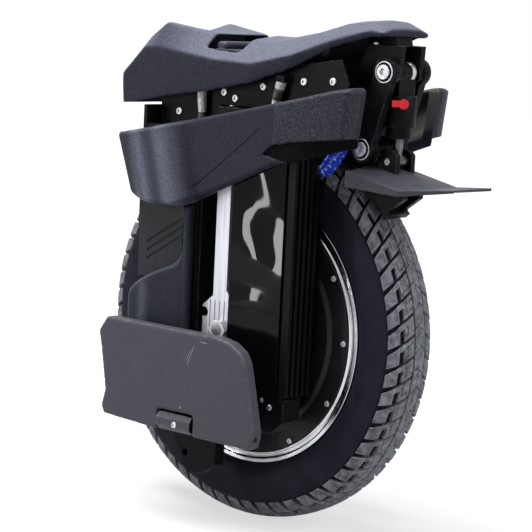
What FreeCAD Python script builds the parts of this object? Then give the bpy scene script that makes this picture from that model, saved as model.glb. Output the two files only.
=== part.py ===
import FreeCAD, Part
import math
import os
import Sketcher

# Electric unicycle with a sprung body: +X forward, +Y to the rider's left, +Z up, millimetres.
# The origin is on the ground under the axle. The body rests on the lower stop of its slide.

SIZES = {
    # wheel
    "rim_inner": 150.0, "cover_seat": 12.0, "rim_wall": 8.0, "flange_height": 6.0, "tyre_section": 80.0,
    "tyre_half": 38.0, "tyre_wall": 7.0, "bead_inset": 10.0, "flange_thick": 3.0, "step_inset": 4.0,
    "cover_proud": 2.0, "dish_rise": 3.0, "dish_inset": 18.0, "bearing_radius": 21.0, "magnet_depth": 5.0,
    "air_gap": 1.5, "stator_half": 15.0, "rim_lip": 5.0, "rim_valley": 1.5,
    # tread
    "tread_depth": 5.0, "tread_groove": 3.2, "tread_slot": 3.7, "tread_slant": 15.0, "tread_pitches": 30,
    # axle and fork
    "axle_radius": 12.0, "axle_end_radius": 8.0, "leg_inset": 18.0, "leg_thick": 12.0, "leg_rear": 6.0,
    "leg_front": 16.0, "foot_top": 28.0, "foot_bottom": 20.0, "foot_slope": 14.0, "foot_clear": 3.0,
    "notch_radius": 6.5, "nut_thick": 9.0, "nut_radius": 14.0, "bridge_thick": 16.0, "bridge_rear": 18.0,
    "bridge_front": 20.0, "stay_gap": 6.0, "stay_thick": 8.0, "stay_half": 20.0, "ear_thick": 8.0,
    # mudguard
    "guard_half": 60.0, "guard_sheet": 2.5, "guard_gap": 8.2, "guard_lead": 32.0, "guard_length": 80.0,
    "guard_lip": 66.0, "guard_tip_half": 39.0, "guard_fall": 17.0, "guard_rise": 6.0, "guard_skirt": 20.0,
    "guard_skirt_rear": 7.0,
    # suspension unit and its cage
    "shock_clear": 10.5, "shock_seat": 12.0, "shock_rise": 46.0, "can_radius": 20.0, "can_gap": 28.0,
    "shaft_radius": 6.0, "eye_radius": 11.0, "pin_radius": 4.0, "lever_drop": 37.0, "lever_turn": 45.0,
    "lever_length": 14.0, "cage_rake": 29.0,
    "cage_gap": 13.0, "arm_clear": 4.0, "arm_thick": 12.0, "arm_width": 28.0, "arm_radius": 17.0,
    "cage_pin_radius": 6.0, "spacer_radius": 8.5, "spacer_flange": 16.0, "spacer_lip": 5.0,
    "bolt_radius": 9.0,
    "bolt_head": 5.0, "tail_thick": 8.0,
    # body boxes and rails
    "box_clear": 10.0, "box_depth": 44.0, "skin_thick": 4.0, "axle_drop": 72.0, "deck_drop": 40.0,
    "rear_box_length": 86.0, "front_box_length": 76.0, "rail_width": 28.0, "rail_depth": 32.0,
    "channel_gap": 4.0, "rib_depth": 10.0, "rib_width": 5.0, "frame_height": 44.0,
    # pedals
    "hanger_thick": 18.0, "hanger_height": 74.0, "hinge_pin": 4.0, "knuckle_radius": 11.0,
    "knuckle_rear": -10.0, "knuckle_width": 58.0, "pedal_thick": 18.0, "pedal_front": 160.0,
    "pedal_rear": -113.0, "pedal_height": 131.0, "pedal_heel": 13.0, "pedal_gap": 2.0, "pedal_clear": 10.6,
    # deck, cover and handle
    "deck_gap": 10.0, "notch_clear": 1.5, "deck_thick": 6.0, "deck_wall": 4.0, "cover_wall": 3.5,
    "grip_width": 42.0,
    "grip_rise": 61.0, "grip_thick": 16.0, "grip_end": 12.0, "slot_gap": 6.0, "tube_radius": 5.5,
    "tube_clear": 2.5, "tube_drop": 240.0, "tyre_clear": 7.5, "guide_radius": 9.5, "guide_height": 26.0,
    "run_clear": 0.08, "boss_radius": 6.0, "bulkhead_thick": 6.0, "lamp_half": 38.0, "lamp_height": 35.0,
    "lamp_depth": 20.0, "lens_depth": 4.0, "button_radius": 8.0, "button_inset": 4.0, "button_depth": 5.0,
    "button_travel": 1.5,
    # pads and leads
    "pad_gap": 0.4, "instep_thick": 20.0, "lead_radius": 6.5, "sleeve_radius": 12.0, "lead_reach": 37.5,
    "lead_drop": 45.0, "lead_slope": 39.0, "lead_stub": 22.0, "upper_bend": 24.0, "lower_bend": 16.0,
    "gland_depth": 3.0, "cover_lead_radius": 5.0, "boot_radius": 6.0, "boot_height": 20.0,
}

# Stations of the top cover from nose to tail: place along X, then how far the lower edge, the ridge and the
# shoulder stand out beyond the deck's side and above it, and the height of the middle.
COVER = [
    (212.0, 1.0, -20.0, 4.0, 20.0, -18.0, 28.0, 26.0),
    (168.0, 8.0, -13.0, 8.0, 57.0, -8.0, 73.0, 62.0),
    (140.0, 11.0, -8.0, 11.0, 57.5, -6.0, 92.0, 77.0),
    (36.0, 18.0, 8.0, 19.0, 48.0, -21.0, 76.0, 81.0),
    (-28.0, 21.0, 21.0, 22.0, 46.0, -21.0, 73.0, 80.0),
    (-88.0, 14.0, 42.0, 16.0, 60.0, -21.0, 84.0, 92.0),
    (-140.0, -2.0, 71.0, -2.0, 82.0, -30.0, 101.0, 105.0),
    (-182.0, -17.0, 85.0, -17.0, 95.0, -36.0, 106.0, 108.0),
    (-203.0, -22.0, 87.0, -21.0, 93.0, -38.0, 97.0, 98.0),
]

# Stations of the leg pad from front to rear: place along X, gap to the side skin, thickness, and
# lower and upper edge above the boxes.
PAD = [
    (172.0, 3.0, 12.0, -74.0, -18.0),
    (140.0, 1.0, 27.0, -89.0, -9.0),
    (100.0, 1.0, 25.0, -97.0, 0.0),
    (58.0, 0.5, 13.5, -95.0, 9.0),
    (0.0, 0.5, 11.0, -69.0, 24.0),
    (-74.0, 0.5, 10.5, -26.0, 45.0),
    (-122.0, 0.5, 9.5, -13.0, 53.0),
    (-206.0, -25.0, 16.0, 3.0, 69.0),
]

V = FreeCAD.Vector
doc = FreeCAD.newDocument("electric_unicycle")
sheet = doc.addObject("Spreadsheet::Sheet", "sizes")
NODES = []


class Size:
    """A length that carries the sheet formula it comes from."""

    def __init__(self, value, text):
        self.value = float(value)
        self.text = text

    def join(self, sign, other, value):
        return Size(value, f"({self.text} {sign} {size(other).text})")

    def __add__(self, other):
        return self.join("+", other, self.value + size(other).value)

    def __sub__(self, other):
        return self.join("-", other, self.value - size(other).value)

    def __mul__(self, other):
        return self.join("*", other, self.value * size(other).value)

    def __truediv__(self, other):
        return self.join("/", other, self.value / size(other).value)

    def __radd__(self, other):
        return size(other) + self

    def __rsub__(self, other):
        return size(other) - self

    def __rmul__(self, other):
        return size(other) * self

    def __neg__(self):
        return size(0) - self


def size(value):
    return value if isinstance(value, Size) else Size(value, f"{float(value):.6f}")


def root(value):
    return Size(math.sqrt(value.value), f"sqrt({value.text})")


def arcsine(share):
    return Size(math.degrees(math.asin(share.value)), f"(asin({share.text}) / 1 deg)")


def turned(word, work, angle):
    angle = size(angle)
    return Size(work(math.radians(angle.value)), f"{word}({angle.text})")


def sine(angle):
    return turned("sin", math.sin, angle)


def cosine(angle):
    return turned("cos", math.cos, angle)


def tangent(angle):
    return turned("tan", math.tan, angle)


class Sheet:
    """The sheet's cells by name."""


S = Sheet()


def add_cell(alias, value):
    row = add_cell.row
    sheet.set(f"A{row}", alias)
    sheet.set(f"B{row}", str(value))
    sheet.setAlias(f"B{row}", alias)
    add_cell.row = row + 1
    cell = Size(value, f"sizes.{alias}")
    setattr(S, alias, cell)
    return cell


add_cell.row = 1
for alias, value in SIZES.items():
    add_cell(alias, value)


def add_stations(word, fields, table):
    rows = []
    for index, values in enumerate(table, start=1):
        rows.append([add_cell(f"{word}_{field}_{index}", v) for field, v in zip(fields, values)])
    return rows


cover_rows = add_stations("cover", ["x", "edge", "edge_z", "ridge", "ridge_z", "crown", "crown_z",
                                    "mid_z"], COVER)
pad_rows = add_stations("pad", ["x", "gap", "thick", "low_z", "high_z"], PAD)


# Sizes that follow from others, kept in the sheet as formulas.
def follow(alias, value):
    row = add_cell.row
    formula = value.text.replace("sizes.", "")
    sheet.set(f"A{row}", alias)
    sheet.set(f"B{row}", f"={formula}")
    sheet.setAlias(f"B{row}", alias)
    add_cell.row = row + 1
    setattr(S, alias, Size(value.value, f"sizes.{alias}"))


def follow_wheel():
    follow("cover_radius", S.rim_inner + S.cover_seat)
    follow("bead_radius", S.cover_radius + S.rim_wall)
    follow("flange_radius", S.bead_radius + S.flange_height)
    follow("tyre_radius", S.bead_radius + S.tyre_section)
    follow("axle_z", S.tyre_radius + 0.0)
    follow("bead_half", S.tyre_half - S.bead_inset)
    follow("rim_half", S.bead_half + S.flange_thick)
    follow("rim_step", S.bead_half - S.step_inset)
    follow("cover_face", S.rim_half + S.cover_proud)
    follow("cover_dish", S.cover_face + S.dish_rise)
    follow("dish_radius", S.rim_inner - S.dish_inset)


def follow_width():
    follow("tube_y", S.tyre_half + S.tyre_clear + S.tube_radius)
    follow("deck_half", S.tube_y + S.guide_radius + 1.5 + S.deck_wall)
    follow("box_inner", S.tyre_half + S.box_clear)
    follow("box_outer", S.box_inner + S.box_depth)
    follow("skin_outer", S.box_outer + S.skin_thick)
    follow("leg_inner", S.box_outer - S.leg_inset)
    follow("leg_outer", S.leg_inner + S.leg_thick)
    follow("rail_inner", S.box_outer - S.rail_depth)
    follow("hanger_outer", S.box_outer + 6.0)
    follow("hanger_inner", S.hanger_outer - S.hanger_thick)
    follow("hinge_y", S.skin_outer + S.pad_gap + S.instep_thick + S.pedal_clear + S.pedal_thick / 2)
    follow("lead_y", S.tyre_half + S.sleeve_radius + 5.0)
    follow("arm_inner", S.can_radius + S.arm_clear)
    follow("bracket_inner", S.arm_inner - S.tail_thick)
    follow("ear_outer", S.stay_half - 1.0)
    follow("ear_inner", S.ear_outer - S.ear_thick)
    follow("cover_lead_y", S.deck_half + S.cover_lead_radius + 1.5)
    follow("grip_half", S.tube_y + S.grip_end)
    follow("slot_half", S.grip_half + S.slot_gap - 2.0)
    follow("boss_y", S.deck_half - S.deck_wall - S.boss_radius - 3.0)
    follow("button_y", S.deck_half - S.button_inset)


def follow_length():
    follow("tube_x", S.bridge_front + S.tube_clear + S.tube_radius)
    follow("rail_rear", S.tube_x + S.tube_radius + S.tube_clear)
    follow("foot_front", S.rail_rear - S.foot_clear)
    follow("foot_rear", S.bridge_rear - S.channel_gap)
    follow("front_box_rear", S.rail_rear + S.rail_width)
    follow("front_box_front", S.front_box_rear + S.front_box_length)
    follow("rear_box_front", -S.bridge_rear - S.channel_gap)
    follow("rear_box_rear", S.rear_box_front - S.rear_box_length)
    follow("gland_face", S.rear_box_rear - S.rib_depth - S.gland_depth)
    follow("lead_x", S.gland_face - S.lead_reach)
    follow("deck_rear", S.lead_x - S.lead_radius - 2.5)
    follow("shock_x", S.deck_rear - S.can_radius - S.shock_clear)
    follow("cage_low_x", S.shock_x + S.cage_rake)
    follow("guard_front", -S.shock_x - S.guard_lead)
    follow("guard_fold", S.guard_front + S.guard_length)
    follow("guard_tip", S.guard_fold + S.guard_lip)
    follow("grip_rear", S.tube_x - S.grip_width / 3)
    follow("grip_front", S.grip_rear + S.grip_width)
    follow("slot_rear", S.grip_rear - S.slot_gap)
    follow("slot_front", S.grip_front + S.slot_gap)
    follow("boss_front", S.front_box_front - 40.0)
    follow("boss_rear", S.rear_box_rear - 12.0)
    follow("front_lead_x", S.front_box_rear - 7.0)
    follow("rear_lead_x", S.rear_box_rear + 38.0)
    follow("knuckle_front", S.knuckle_rear + S.knuckle_width)


def follow_height():
    follow("stay_top", S.tyre_radius + S.stay_gap + S.stay_thick)
    follow("bridge_z", S.axle_z + S.stay_top)
    follow("deck_bottom", S.bridge_z + S.bridge_thick + S.deck_gap)
    follow("box_top", S.deck_bottom - S.deck_drop)
    follow("box_bottom", S.axle_z - S.axle_drop)
    follow("skin_top", S.box_top - 20.0)
    follow("skin_bottom", S.box_bottom + 5.0)
    follow("frame_bottom", S.box_bottom - S.frame_height)
    follow("hanger_bottom", S.frame_bottom - S.hanger_height)
    follow("hinge_z", S.frame_bottom + 0.0)
    follow("pedal_bottom", S.hinge_z - S.pedal_heel)
    follow("pedal_top", S.pedal_bottom + S.pedal_height)
    follow("guard_front_z", over_wheel(S.stay_top, S.guard_front) + S.guard_gap + S.guard_sheet)
    follow("guard_fold_z", S.guard_front_z - S.guard_fall)
    follow("guard_tip_z", S.guard_fold_z + S.guard_rise)
    follow("shock_low_z", S.guard_front_z + S.shock_seat)
    follow("shock_top_z", S.deck_bottom + S.shock_rise)
    follow("can_bottom", S.shock_low_z + S.can_gap)
    follow("shaft_top", S.shock_top_z - S.eye_radius - 4.0)
    follow("lever_z", S.shock_top_z - S.lever_drop)
    follow("cage_low_z", S.shock_low_z + S.cage_gap)
    follow("grip_top", S.deck_bottom + S.grip_rise)
    follow("tube_bottom", S.deck_bottom - S.tube_drop)
    follow("bulkhead_bottom", over_wheel(S.tyre_radius + S.stay_gap, S.front_box_front))
    follow("bulkhead_top", S.box_top + 24.0)
    follow("lamp_top", S.box_top + 5.0)
    follow("lamp_bottom", S.lamp_top - S.lamp_height)
    follow("button_z", S.box_top - 8.0)
    follow("lead_turn_z", S.deck_bottom - S.lead_drop)
    follow("front_lead_top", S.deck_bottom + 12.0)
    follow("rear_lead_top", S.deck_bottom + 26.0)


def over_wheel(radius, x):
    """Height of a circle about the axle at a place along X."""
    return S.axle_z + root(radius * radius - x * x)


follow_wheel()
follow_width()
follow_length()
follow_height()
doc.recompute()


def bind(obj, prop, value):
    obj.setExpression(prop, size(value).text)


def place(obj, x, y, z):
    for axis, value in zip("xyz", (x, y, z)):
        bind(obj, f"Placement.Base.{axis}", value)
    return obj


def node(label, obj):
    obj.Label = label
    NODES.append((label, obj))
    return obj


def box(name, x, y, z):
    """A block between two places on each axis."""
    obj = doc.addObject("Part::Box", name)
    for prop, (low, high) in zip(("Length", "Width", "Height"), (x, y, z)):
        bind(obj, prop, size(high) - low)
    return place(obj, x[0], y[0], z[0])


TURNS = {
    "x": FreeCAD.Rotation(V(0, 1, 0), 90),
    "y": FreeCAD.Rotation(V(1, 0, 0), -90),
    "z": FreeCAD.Rotation(),
}


def rod(name, axis, radius, span, at):
    """A cylinder along an axis: span is its two ends, at its place on the two other axes."""
    obj = doc.addObject("Part::Cylinder", name)
    bind(obj, "Radius", radius)
    bind(obj, "Height", size(span[1]) - span[0])
    obj.Placement = FreeCAD.Placement(V(0, 0, 0), TURNS[axis])
    spot = list(at)
    spot.insert("xyz".index(axis), span[0])
    return place(obj, *spot)


def fuse(name, *shapes):
    obj = doc.addObject("Part::MultiFuse", name)
    obj.Shapes = list(shapes)
    obj.Refine = True
    return obj


def cut(name, base, *tools):
    obj = doc.addObject("Part::Cut", name)
    obj.Base = base
    obj.Tool = tools[0] if len(tools) == 1 else fuse(name + "_tools", *tools)
    obj.Refine = True
    return obj


def group(name, *shapes):
    obj = doc.addObject("Part::Compound", name)
    obj.Links = list(shapes)
    return obj


def mirror(name, source):
    """The same piece on the other side of the wheel."""
    obj = doc.addObject("Part::Mirroring", name)
    obj.Source = source
    obj.Normal = V(0, 1, 0)
    return obj


def both_sides(label, left):
    node(label + "_left", left)
    node(label + "_right", mirror(label + "_twin", left))


def outline(body, name, plane, offset, points):
    """A closed outline of straight lines whose corners follow the sheet."""
    sketch = body.newObject("Sketcher::SketchObject", name)
    support = next(f for f in body.Origin.OriginFeatures if f.Role == plane)
    sketch.AttachmentSupport = [(support, "")]
    sketch.MapMode = "FlatFace"
    bind(sketch, "AttachmentOffset.Base.z", offset)
    corners = [(size(u), size(v)) for u, v in points]
    places = [V(u.value, v.value, 0) for u, v in corners]
    count = len(corners)
    for index in range(count):
        sketch.addGeometry(Part.LineSegment(places[index], places[(index + 1) % count]))
    for index in range(count):
        sketch.addConstraint(Sketcher.Constraint("Coincident", index, 2, (index + 1) % count, 1))
    for index, corner in enumerate(corners):
        for kind, value in zip(("DistanceX", "DistanceY"), corner):
            spot = sketch.addConstraint(Sketcher.Constraint(kind, -1, 1, index, 1, value.value))
            bind(sketch, f"Constraints[{spot}]", value)
    return sketch


def extrude(name, plane, points, low, high):
    """An outline on a plane, made solid between two places across it."""
    body = doc.addObject("PartDesign::Body", name)
    flip = plane == "XZ_Plane"
    sketch = outline(body, name + "_outline", plane, -size(low) if flip else low, points)
    pad = body.newObject("PartDesign::Pad", name + "_pad")
    pad.Profile = sketch
    bind(pad, "Length", size(high) - low)
    pad.Reversed = flip
    doc.recompute()
    return body


def round_edges(body, radius, axis):
    """Fillets on the edges that run along an axis."""
    base = body.Tip
    names = []
    for index, edge in enumerate(base.Shape.Edges, start=1):
        if edge.Curve.TypeId == "Part::GeomLine" and abs(edge.Curve.Direction.dot(axis)) > 0.999:
            names.append(f"Edge{index}")
    fillet = body.newObject("PartDesign::Fillet", body.Name + "_round")
    fillet.Base = (base, names)
    bind(fillet, "Radius", radius)
    doc.recompute()
    return body


def revolve(name, points, angle=360.0, reverse=False):
    """A profile of (place along the axle, radius) turned about the axle."""
    body = doc.addObject("PartDesign::Body", name)
    sketch = outline(body, name + "_profile", "YZ_Plane", 0, points)
    turn = body.newObject("PartDesign::Revolution", name + "_turn")
    turn.Profile = sketch
    turn.ReferenceAxis = (sketch, ["H_Axis"])
    bind(turn, "Angle", angle)
    turn.Reversed = reverse
    bind(body, "Placement.Base.z", S.axle_z)
    doc.recompute()
    return body


def loft(name, sections):
    """A ruled solid through outlines across X."""
    body = doc.addObject("PartDesign::Body", name)
    sketches = [outline(body, f"{name}_{i}", "YZ_Plane", x, points)
                for i, (x, points) in enumerate(sections, start=1)]
    skin = body.newObject("PartDesign::AdditiveLoft", f"{name}_skin")
    skin.Profile = sketches[0]
    skin.Sections = sketches[1:]
    skin.Ruled = True
    doc.recompute()
    return body


# Tyre: a crowned carcass with square bead heels, hollow, with grooves round its tread.
def make_tyre():
    half = S.tyre_half
    top = S.tyre_radius
    wall = S.tyre_wall
    skin = [(half, top - 37.0), (half * 0.905, top - 14.8), (half * 0.8, top - 8.4), (half * 0.58, top - 3.5),
            (half * 0.3, top - 0.9), (size(0), top)]

    def groove(start, towards):
        y, r = start
        share = S.tread_groove / (y - towards[0])
        far = r + (towards[1] - r) * share
        return [start, (y, r - S.tread_depth), (y - S.tread_groove, far - S.tread_depth),
                (y - S.tread_groove, far)]

    outer = [(S.bead_half, S.bead_radius), (S.bead_half, S.flange_radius + 1.0),
             (S.bead_half + 6.0, S.flange_radius + 9.0), skin[0], skin[1], *groove(skin[2], skin[3]), skin[3],
             *groove(skin[4], skin[5])]
    inner = [(S.bead_half - wall + 1.0, S.bead_radius), (half - wall, top - 37.0),
             (half - wall - 3.0, top - 16.0)]
    points = outer + [skin[5]] + [(-y, r) for y, r in outer[::-1]] + [(-y, r) for y, r in inner]
    points += [(size(0), top - wall - 3.0)] + inner[::-1]
    tyre = revolve("tyre", points)
    edge = (half + 1.0, top - 21.0)
    end = (skin[4][0] - S.tread_groove / 2, skin[4][1])
    line = [edge, skin[1], skin[2], skin[3], end]
    cut_tread(tyre, line)
    node("tyre", tyre)


# Tread: one slanting slot per pitch on each side, the right side half a pitch on, patterned round the axle.
def cut_tread(tyre, line):
    slots = []
    for word, side, turn in (("left", 1.0, size(0)), ("right", -1.0, size(180) / S.tread_pitches)):
        sections = []
        for index, (y, r) in enumerate(line):
            start = S.tread_slant * (S.tyre_half - y) / S.tyre_half
            corners = [(start, r - S.tread_depth), (start + S.tread_slot, r - S.tread_depth),
                       (start + S.tread_slot, r + S.tread_depth), (start, r + S.tread_depth)]
            points = [(x * cosine(turn) + z * sine(turn), z * cosine(turn) - x * sine(turn))
                      for x, z in corners]
            sections.append(outline(tyre, f"tread_{word}_{index}", "XZ_Plane", y * -side, points))
        slot = tyre.newObject("PartDesign::SubtractiveLoft", f"tread_slot_{word}")
        slot.Profile = sections[0]
        slot.Sections = sections[1:]
        slot.Ruled = True
        doc.recompute()
        slots.append(slot)
    ring = tyre.newObject("PartDesign::PolarPattern", "tread_ring")
    ring.Originals = slots
    ring.Axis = (doc.getObject("tyre_profile"), ["H_Axis"])
    ring.Angle = 360.0
    bind(ring, "Occurrences", S.tread_pitches)
    tyre.Tip = ring
    doc.recompute()


# Rim: bead seats between two flanges, with a turned valley and a step for the motor cover on each side.
def make_rim():
    lip = S.flange_radius - S.rim_lip
    seat = S.cover_radius + 0.3
    valley = S.rim_half - S.rim_valley
    side = [(S.bead_half + 0.3, S.bead_radius), (S.bead_half + 0.3, S.flange_radius),
            (S.rim_half, S.flange_radius),
            (S.rim_half, lip), (valley, lip - S.rim_valley), (valley, seat + S.rim_lip - S.rim_valley),
            (S.rim_half, seat + S.rim_lip - 2.0 * S.rim_valley), (S.rim_half, seat), (S.rim_step, seat),
            (S.rim_step, S.rim_inner)]
    points = side + [(-y, r) for y, r in side[::-1]]
    node("rim", revolve("rim", points))


# Motor: side covers with a dished middle, bearings, magnets and the wound core on the axle.
def make_motor():
    boss = S.bearing_radius + 11.0
    points = [(S.rim_step, S.cover_radius), (S.cover_face, S.cover_radius),
              (S.cover_face, S.dish_radius + 6.0), (S.cover_dish, S.dish_radius),
              (S.cover_dish, S.bearing_radius), (S.rim_step - 6.0, S.bearing_radius),
              (S.rim_step - 6.0, boss), (S.rim_step, boss)]
    both_sides("motor_cover", revolve("motor_cover", points))
    ring = [(S.rim_step - 4.0, S.bearing_radius), (S.cover_dish - 2.0, S.bearing_radius),
            (S.cover_dish - 2.0, S.axle_radius + S.run_clear),
            (S.rim_step - 4.0, S.axle_radius + S.run_clear)]
    bearing = revolve("bearing", ring)
    node("wheel_bearings", group("bearing_pair", bearing, mirror("bearing_twin", bearing)))
    low = S.rim_inner - S.magnet_depth
    wide = S.rim_step - 4.0
    magnets = [(wide, S.rim_inner), (-wide, S.rim_inner), (-wide, low), (wide, low)]
    node("magnet_ring", revolve("magnet_ring", magnets))
    hub = S.axle_radius + 18.0
    edge = low - S.air_gap
    tooth = edge - 42.0
    side = [(S.stator_half + 1.5, S.axle_radius), (S.stator_half + 1.5, hub), (size(5), hub),
            (size(5), tooth),
            (S.stator_half, tooth), (S.stator_half, edge)]
    node("stator", revolve("stator", side + [(-y, r) for y, r in side[::-1]]))


# Axle: a thick middle between the legs, with a thinner threaded end through each leg and its nut.
def make_axle():
    leg_outer = S.leg_outer
    side = [(leg_outer + S.nut_thick, size(1.0)), (leg_outer + S.nut_thick, S.axle_end_radius),
            (S.leg_inner, S.axle_end_radius), (S.leg_inner, S.axle_radius)]
    node("axle", revolve("axle", side + [(-y, r) for y, r in side[::-1]]))
    corner = S.nut_radius * 0.866
    points = [(S.nut_radius, 0), (S.nut_radius / 2, corner), (-S.nut_radius / 2, corner), (-S.nut_radius, 0),
              (-S.nut_radius / 2, -corner), (S.nut_radius / 2, -corner)]
    hexagon = extrude("nut_hexagon", "XZ_Plane", points, leg_outer, leg_outer + S.nut_thick)
    bind(hexagon, "Placement.Base.z", S.axle_z)
    bore = rod("nut_bore", "y", S.axle_end_radius, (leg_outer - 1.0, leg_outer + S.nut_thick + 1.0),
               (0, S.axle_z))
    nut = cut("nut", hexagon, bore)
    node("axle_nuts", group("nut_pair", nut, mirror("nut_twin", nut)))


# Fork: a flat leg on each side with a wide foot on the axle, and a bridge over the tyre.
def make_fork():
    leg_outer = S.leg_outer
    top = S.bridge_z
    foot_top = S.axle_z + S.foot_top
    points = [(-S.foot_rear, S.axle_z - S.foot_bottom), (S.foot_front, S.axle_z - S.foot_bottom),
              (S.foot_front, foot_top), (S.leg_front, foot_top + S.foot_slope), (S.leg_front, top),
              (-S.leg_rear, top), (-S.leg_rear, foot_top + S.foot_slope + 8.0),
              (-S.foot_rear, foot_top + S.foot_slope)]
    plate = extrude("leg_plate", "XZ_Plane", points, S.leg_inner, leg_outer)
    span = (S.leg_inner - 1.0, leg_outer + 1.0)
    bore = rod("leg_bore", "y", S.axle_end_radius, span, (0, S.axle_z))
    notch = rod("leg_notch", "y", S.notch_radius, span, (S.foot_front - 3.0, S.axle_z + S.foot_top - 9.0))
    grooves = []
    for index in range(4):
        x = S.foot_front - 14.0 - index * 8.0
        low = S.axle_z - S.foot_bottom - 1.0
        grooves.append(box(f"leg_groove_{index}", (x, x + 2.0), (leg_outer - 1.2, leg_outer + 1.0),
                           (low, foot_top + 8.0)))
    both_sides("fork_leg", cut("leg", plate, bore, notch, *grooves))
    beam = box("bridge_beam", (-S.bridge_rear, S.bridge_front), (-leg_outer, leg_outer),
               (top, top + S.bridge_thick))
    hollow = box("bridge_hollow", (-S.bridge_rear + 6.0, S.bridge_front - 6.0),
                 (-S.leg_inner + 8.0, S.leg_inner - 8.0), (top + 5.0, top + S.bridge_thick + 1.0))
    node("fork_bridge", cut("bridge", beam, hollow))


def guard_underside(x):
    fall = S.guard_fall / S.guard_length
    return S.guard_fold_z - S.guard_sheet + (x + S.guard_fold) * fall


# Stay: a curved strap from the bridge back over the tyre, with two ears for the shock's lower eye.
def make_stay():
    low = S.tyre_radius + S.stay_gap
    high = S.stay_top
    middle = low + S.stay_thick / 2
    half = S.stay_half
    x = S.shock_x
    z = S.shock_low_z
    angle = arcsine((6.0 - x) / middle)
    strap = revolve("stay_strap", [(half, low), (half, high), (-half, high), (-half, low)], angle, True)
    seat = box("stay_seat", (-S.bridge_rear, S.bridge_front), (-half, half), (S.axle_z + low, S.bridge_z))
    points = [(x - 28.0, guard_underside(x - 28.0) - 16.0), (x - 28.0, guard_underside(x - 28.0)),
              (x - 13.0, guard_underside(x - 13.0)), (x - 13.0, z + 8.0), (x - 7.0, z + 14.0),
              (x + 7.0, z + 14.0),
              (x + 13.0, z + 8.0), (x + 20.0, over_wheel(middle, x + 20.0)),
              (x - 2.0, over_wheel(middle, x - 2.0))]
    ear = extrude("stay_ear", "XZ_Plane", points, S.ear_inner, S.ear_outer)
    blank = fuse("stay_blank", strap, seat, ear, mirror("stay_ear_twin", ear))
    bore = rod("stay_bore", "y", S.pin_radius, (-half - 1.0, half + 1.0), (x, z))
    node("fork_stay", cut("stay", blank, bore))
    node("shock_pin", rod("shock_pin", "y", S.pin_radius, (-half, half), (x, z)))


# Mudguard: one folded sheet with side skirts and a lip that rises to the rear.
def make_mudguard():
    sheet_thick = S.guard_sheet

    def across(half, z, skirt):
        inner = half - sheet_thick
        return [(half, z - skirt), (half, z), (-half, z), (-half, z - skirt), (-inner, z - skirt),
                (-inner, z - sheet_thick), (inner, z - sheet_thick), (inner, z - skirt)]

    rows = [(-S.guard_front, across(S.guard_half, S.guard_front_z, S.guard_skirt)),
            (-S.guard_fold, across(S.guard_half, S.guard_fold_z, S.guard_skirt_rear)),
            (-S.guard_tip, across(S.guard_tip_half, S.guard_tip_z, sheet_thick + 1.0))]
    skin = loft("guard_skin", rows)
    reach = S.ear_outer + 1.0
    slot = box("guard_slot", (S.shock_x - 13.5, S.shock_x + 34.0), (-reach, reach),
               (S.guard_fold_z - 20.0, S.guard_front_z + 20.0))
    node("mudguard", cut("guard", skin, slot))


def about_shock(name, shape):
    """A shape made behind the vertical axis, set on the shock and turned to its left rear."""
    obj = doc.addObject("Part::Compound", name)
    obj.Links = [shape]
    obj.Placement = FreeCAD.Placement(V(0, 0, 0), FreeCAD.Rotation(V(0, 0, -1), S.lever_turn.value))
    bind(obj, "Placement.Rotation.Angle", S.lever_turn)
    return place(obj, S.shock_x, 0, 0)


# Shock: an air can hung from the upper cage bolt, its shaft and lower eye on the fork.
def make_shock():
    x = S.shock_x
    eye_half = S.ear_inner - 0.5
    eye = rod("shaft_eye", "y", S.eye_radius - 2.0, (-eye_half, eye_half), (x, S.shock_low_z))
    shaft = rod("shaft_rod", "z", S.shaft_radius, (S.shock_low_z + 4.0, S.shaft_top), (x, 0))
    bore = rod("shaft_bore", "y", S.pin_radius, (-S.stay_half, S.stay_half), (x, S.shock_low_z))
    node("shock_shaft", cut("shaft", fuse("shaft_blank", eye, shaft), bore))
    can_top = S.shock_top_z - 28.0
    can = rod("can_barrel", "z", S.can_radius, (S.can_bottom + 14.0, can_top), (x, 0))
    cap = rod("can_cap", "z", S.can_radius - 4.0, (S.can_bottom, S.can_bottom + 14.0), (x, 0))
    head = box("can_head", (x - 9.0, x + 9.0), (-S.bracket_inner + 0.3, S.bracket_inner - 0.3),
               (can_top - 4.0, S.shock_top_z))
    upper = rod("can_eye", "y", S.eye_radius, (-S.bracket_inner + 0.3, S.bracket_inner - 0.3),
                (x, S.shock_top_z))
    boss = rod("boss_post", "x", 7.0, (-S.can_radius - 3.0, 0), (0, S.lever_z))
    blank = fuse("can_blank", can, cap, head, upper, about_shock("can_boss", boss))
    hole = rod("can_hole", "z", S.shaft_radius + S.run_clear, (S.can_bottom - 1.0, S.shaft_top + 1.0), (x, 0))
    pin = rod("can_pin", "y", S.cage_pin_radius, (-S.arm_inner, S.arm_inner), (x, S.shock_top_z))
    node("shock_can", cut("can", blank, hole, pin))
    face = -S.can_radius - 3.3
    hub = rod("lever_hub", "x", 6.0, (face - 7.0, face), (0, S.lever_z))
    blade = box("lever_blade", (face - 6.0, face - 1.0), (0, S.lever_length),
                (S.lever_z - 4.0, S.lever_z + 4.0))
    node("shock_lever", about_shock("lever", fuse("lever_blank", hub, blade)))


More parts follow.
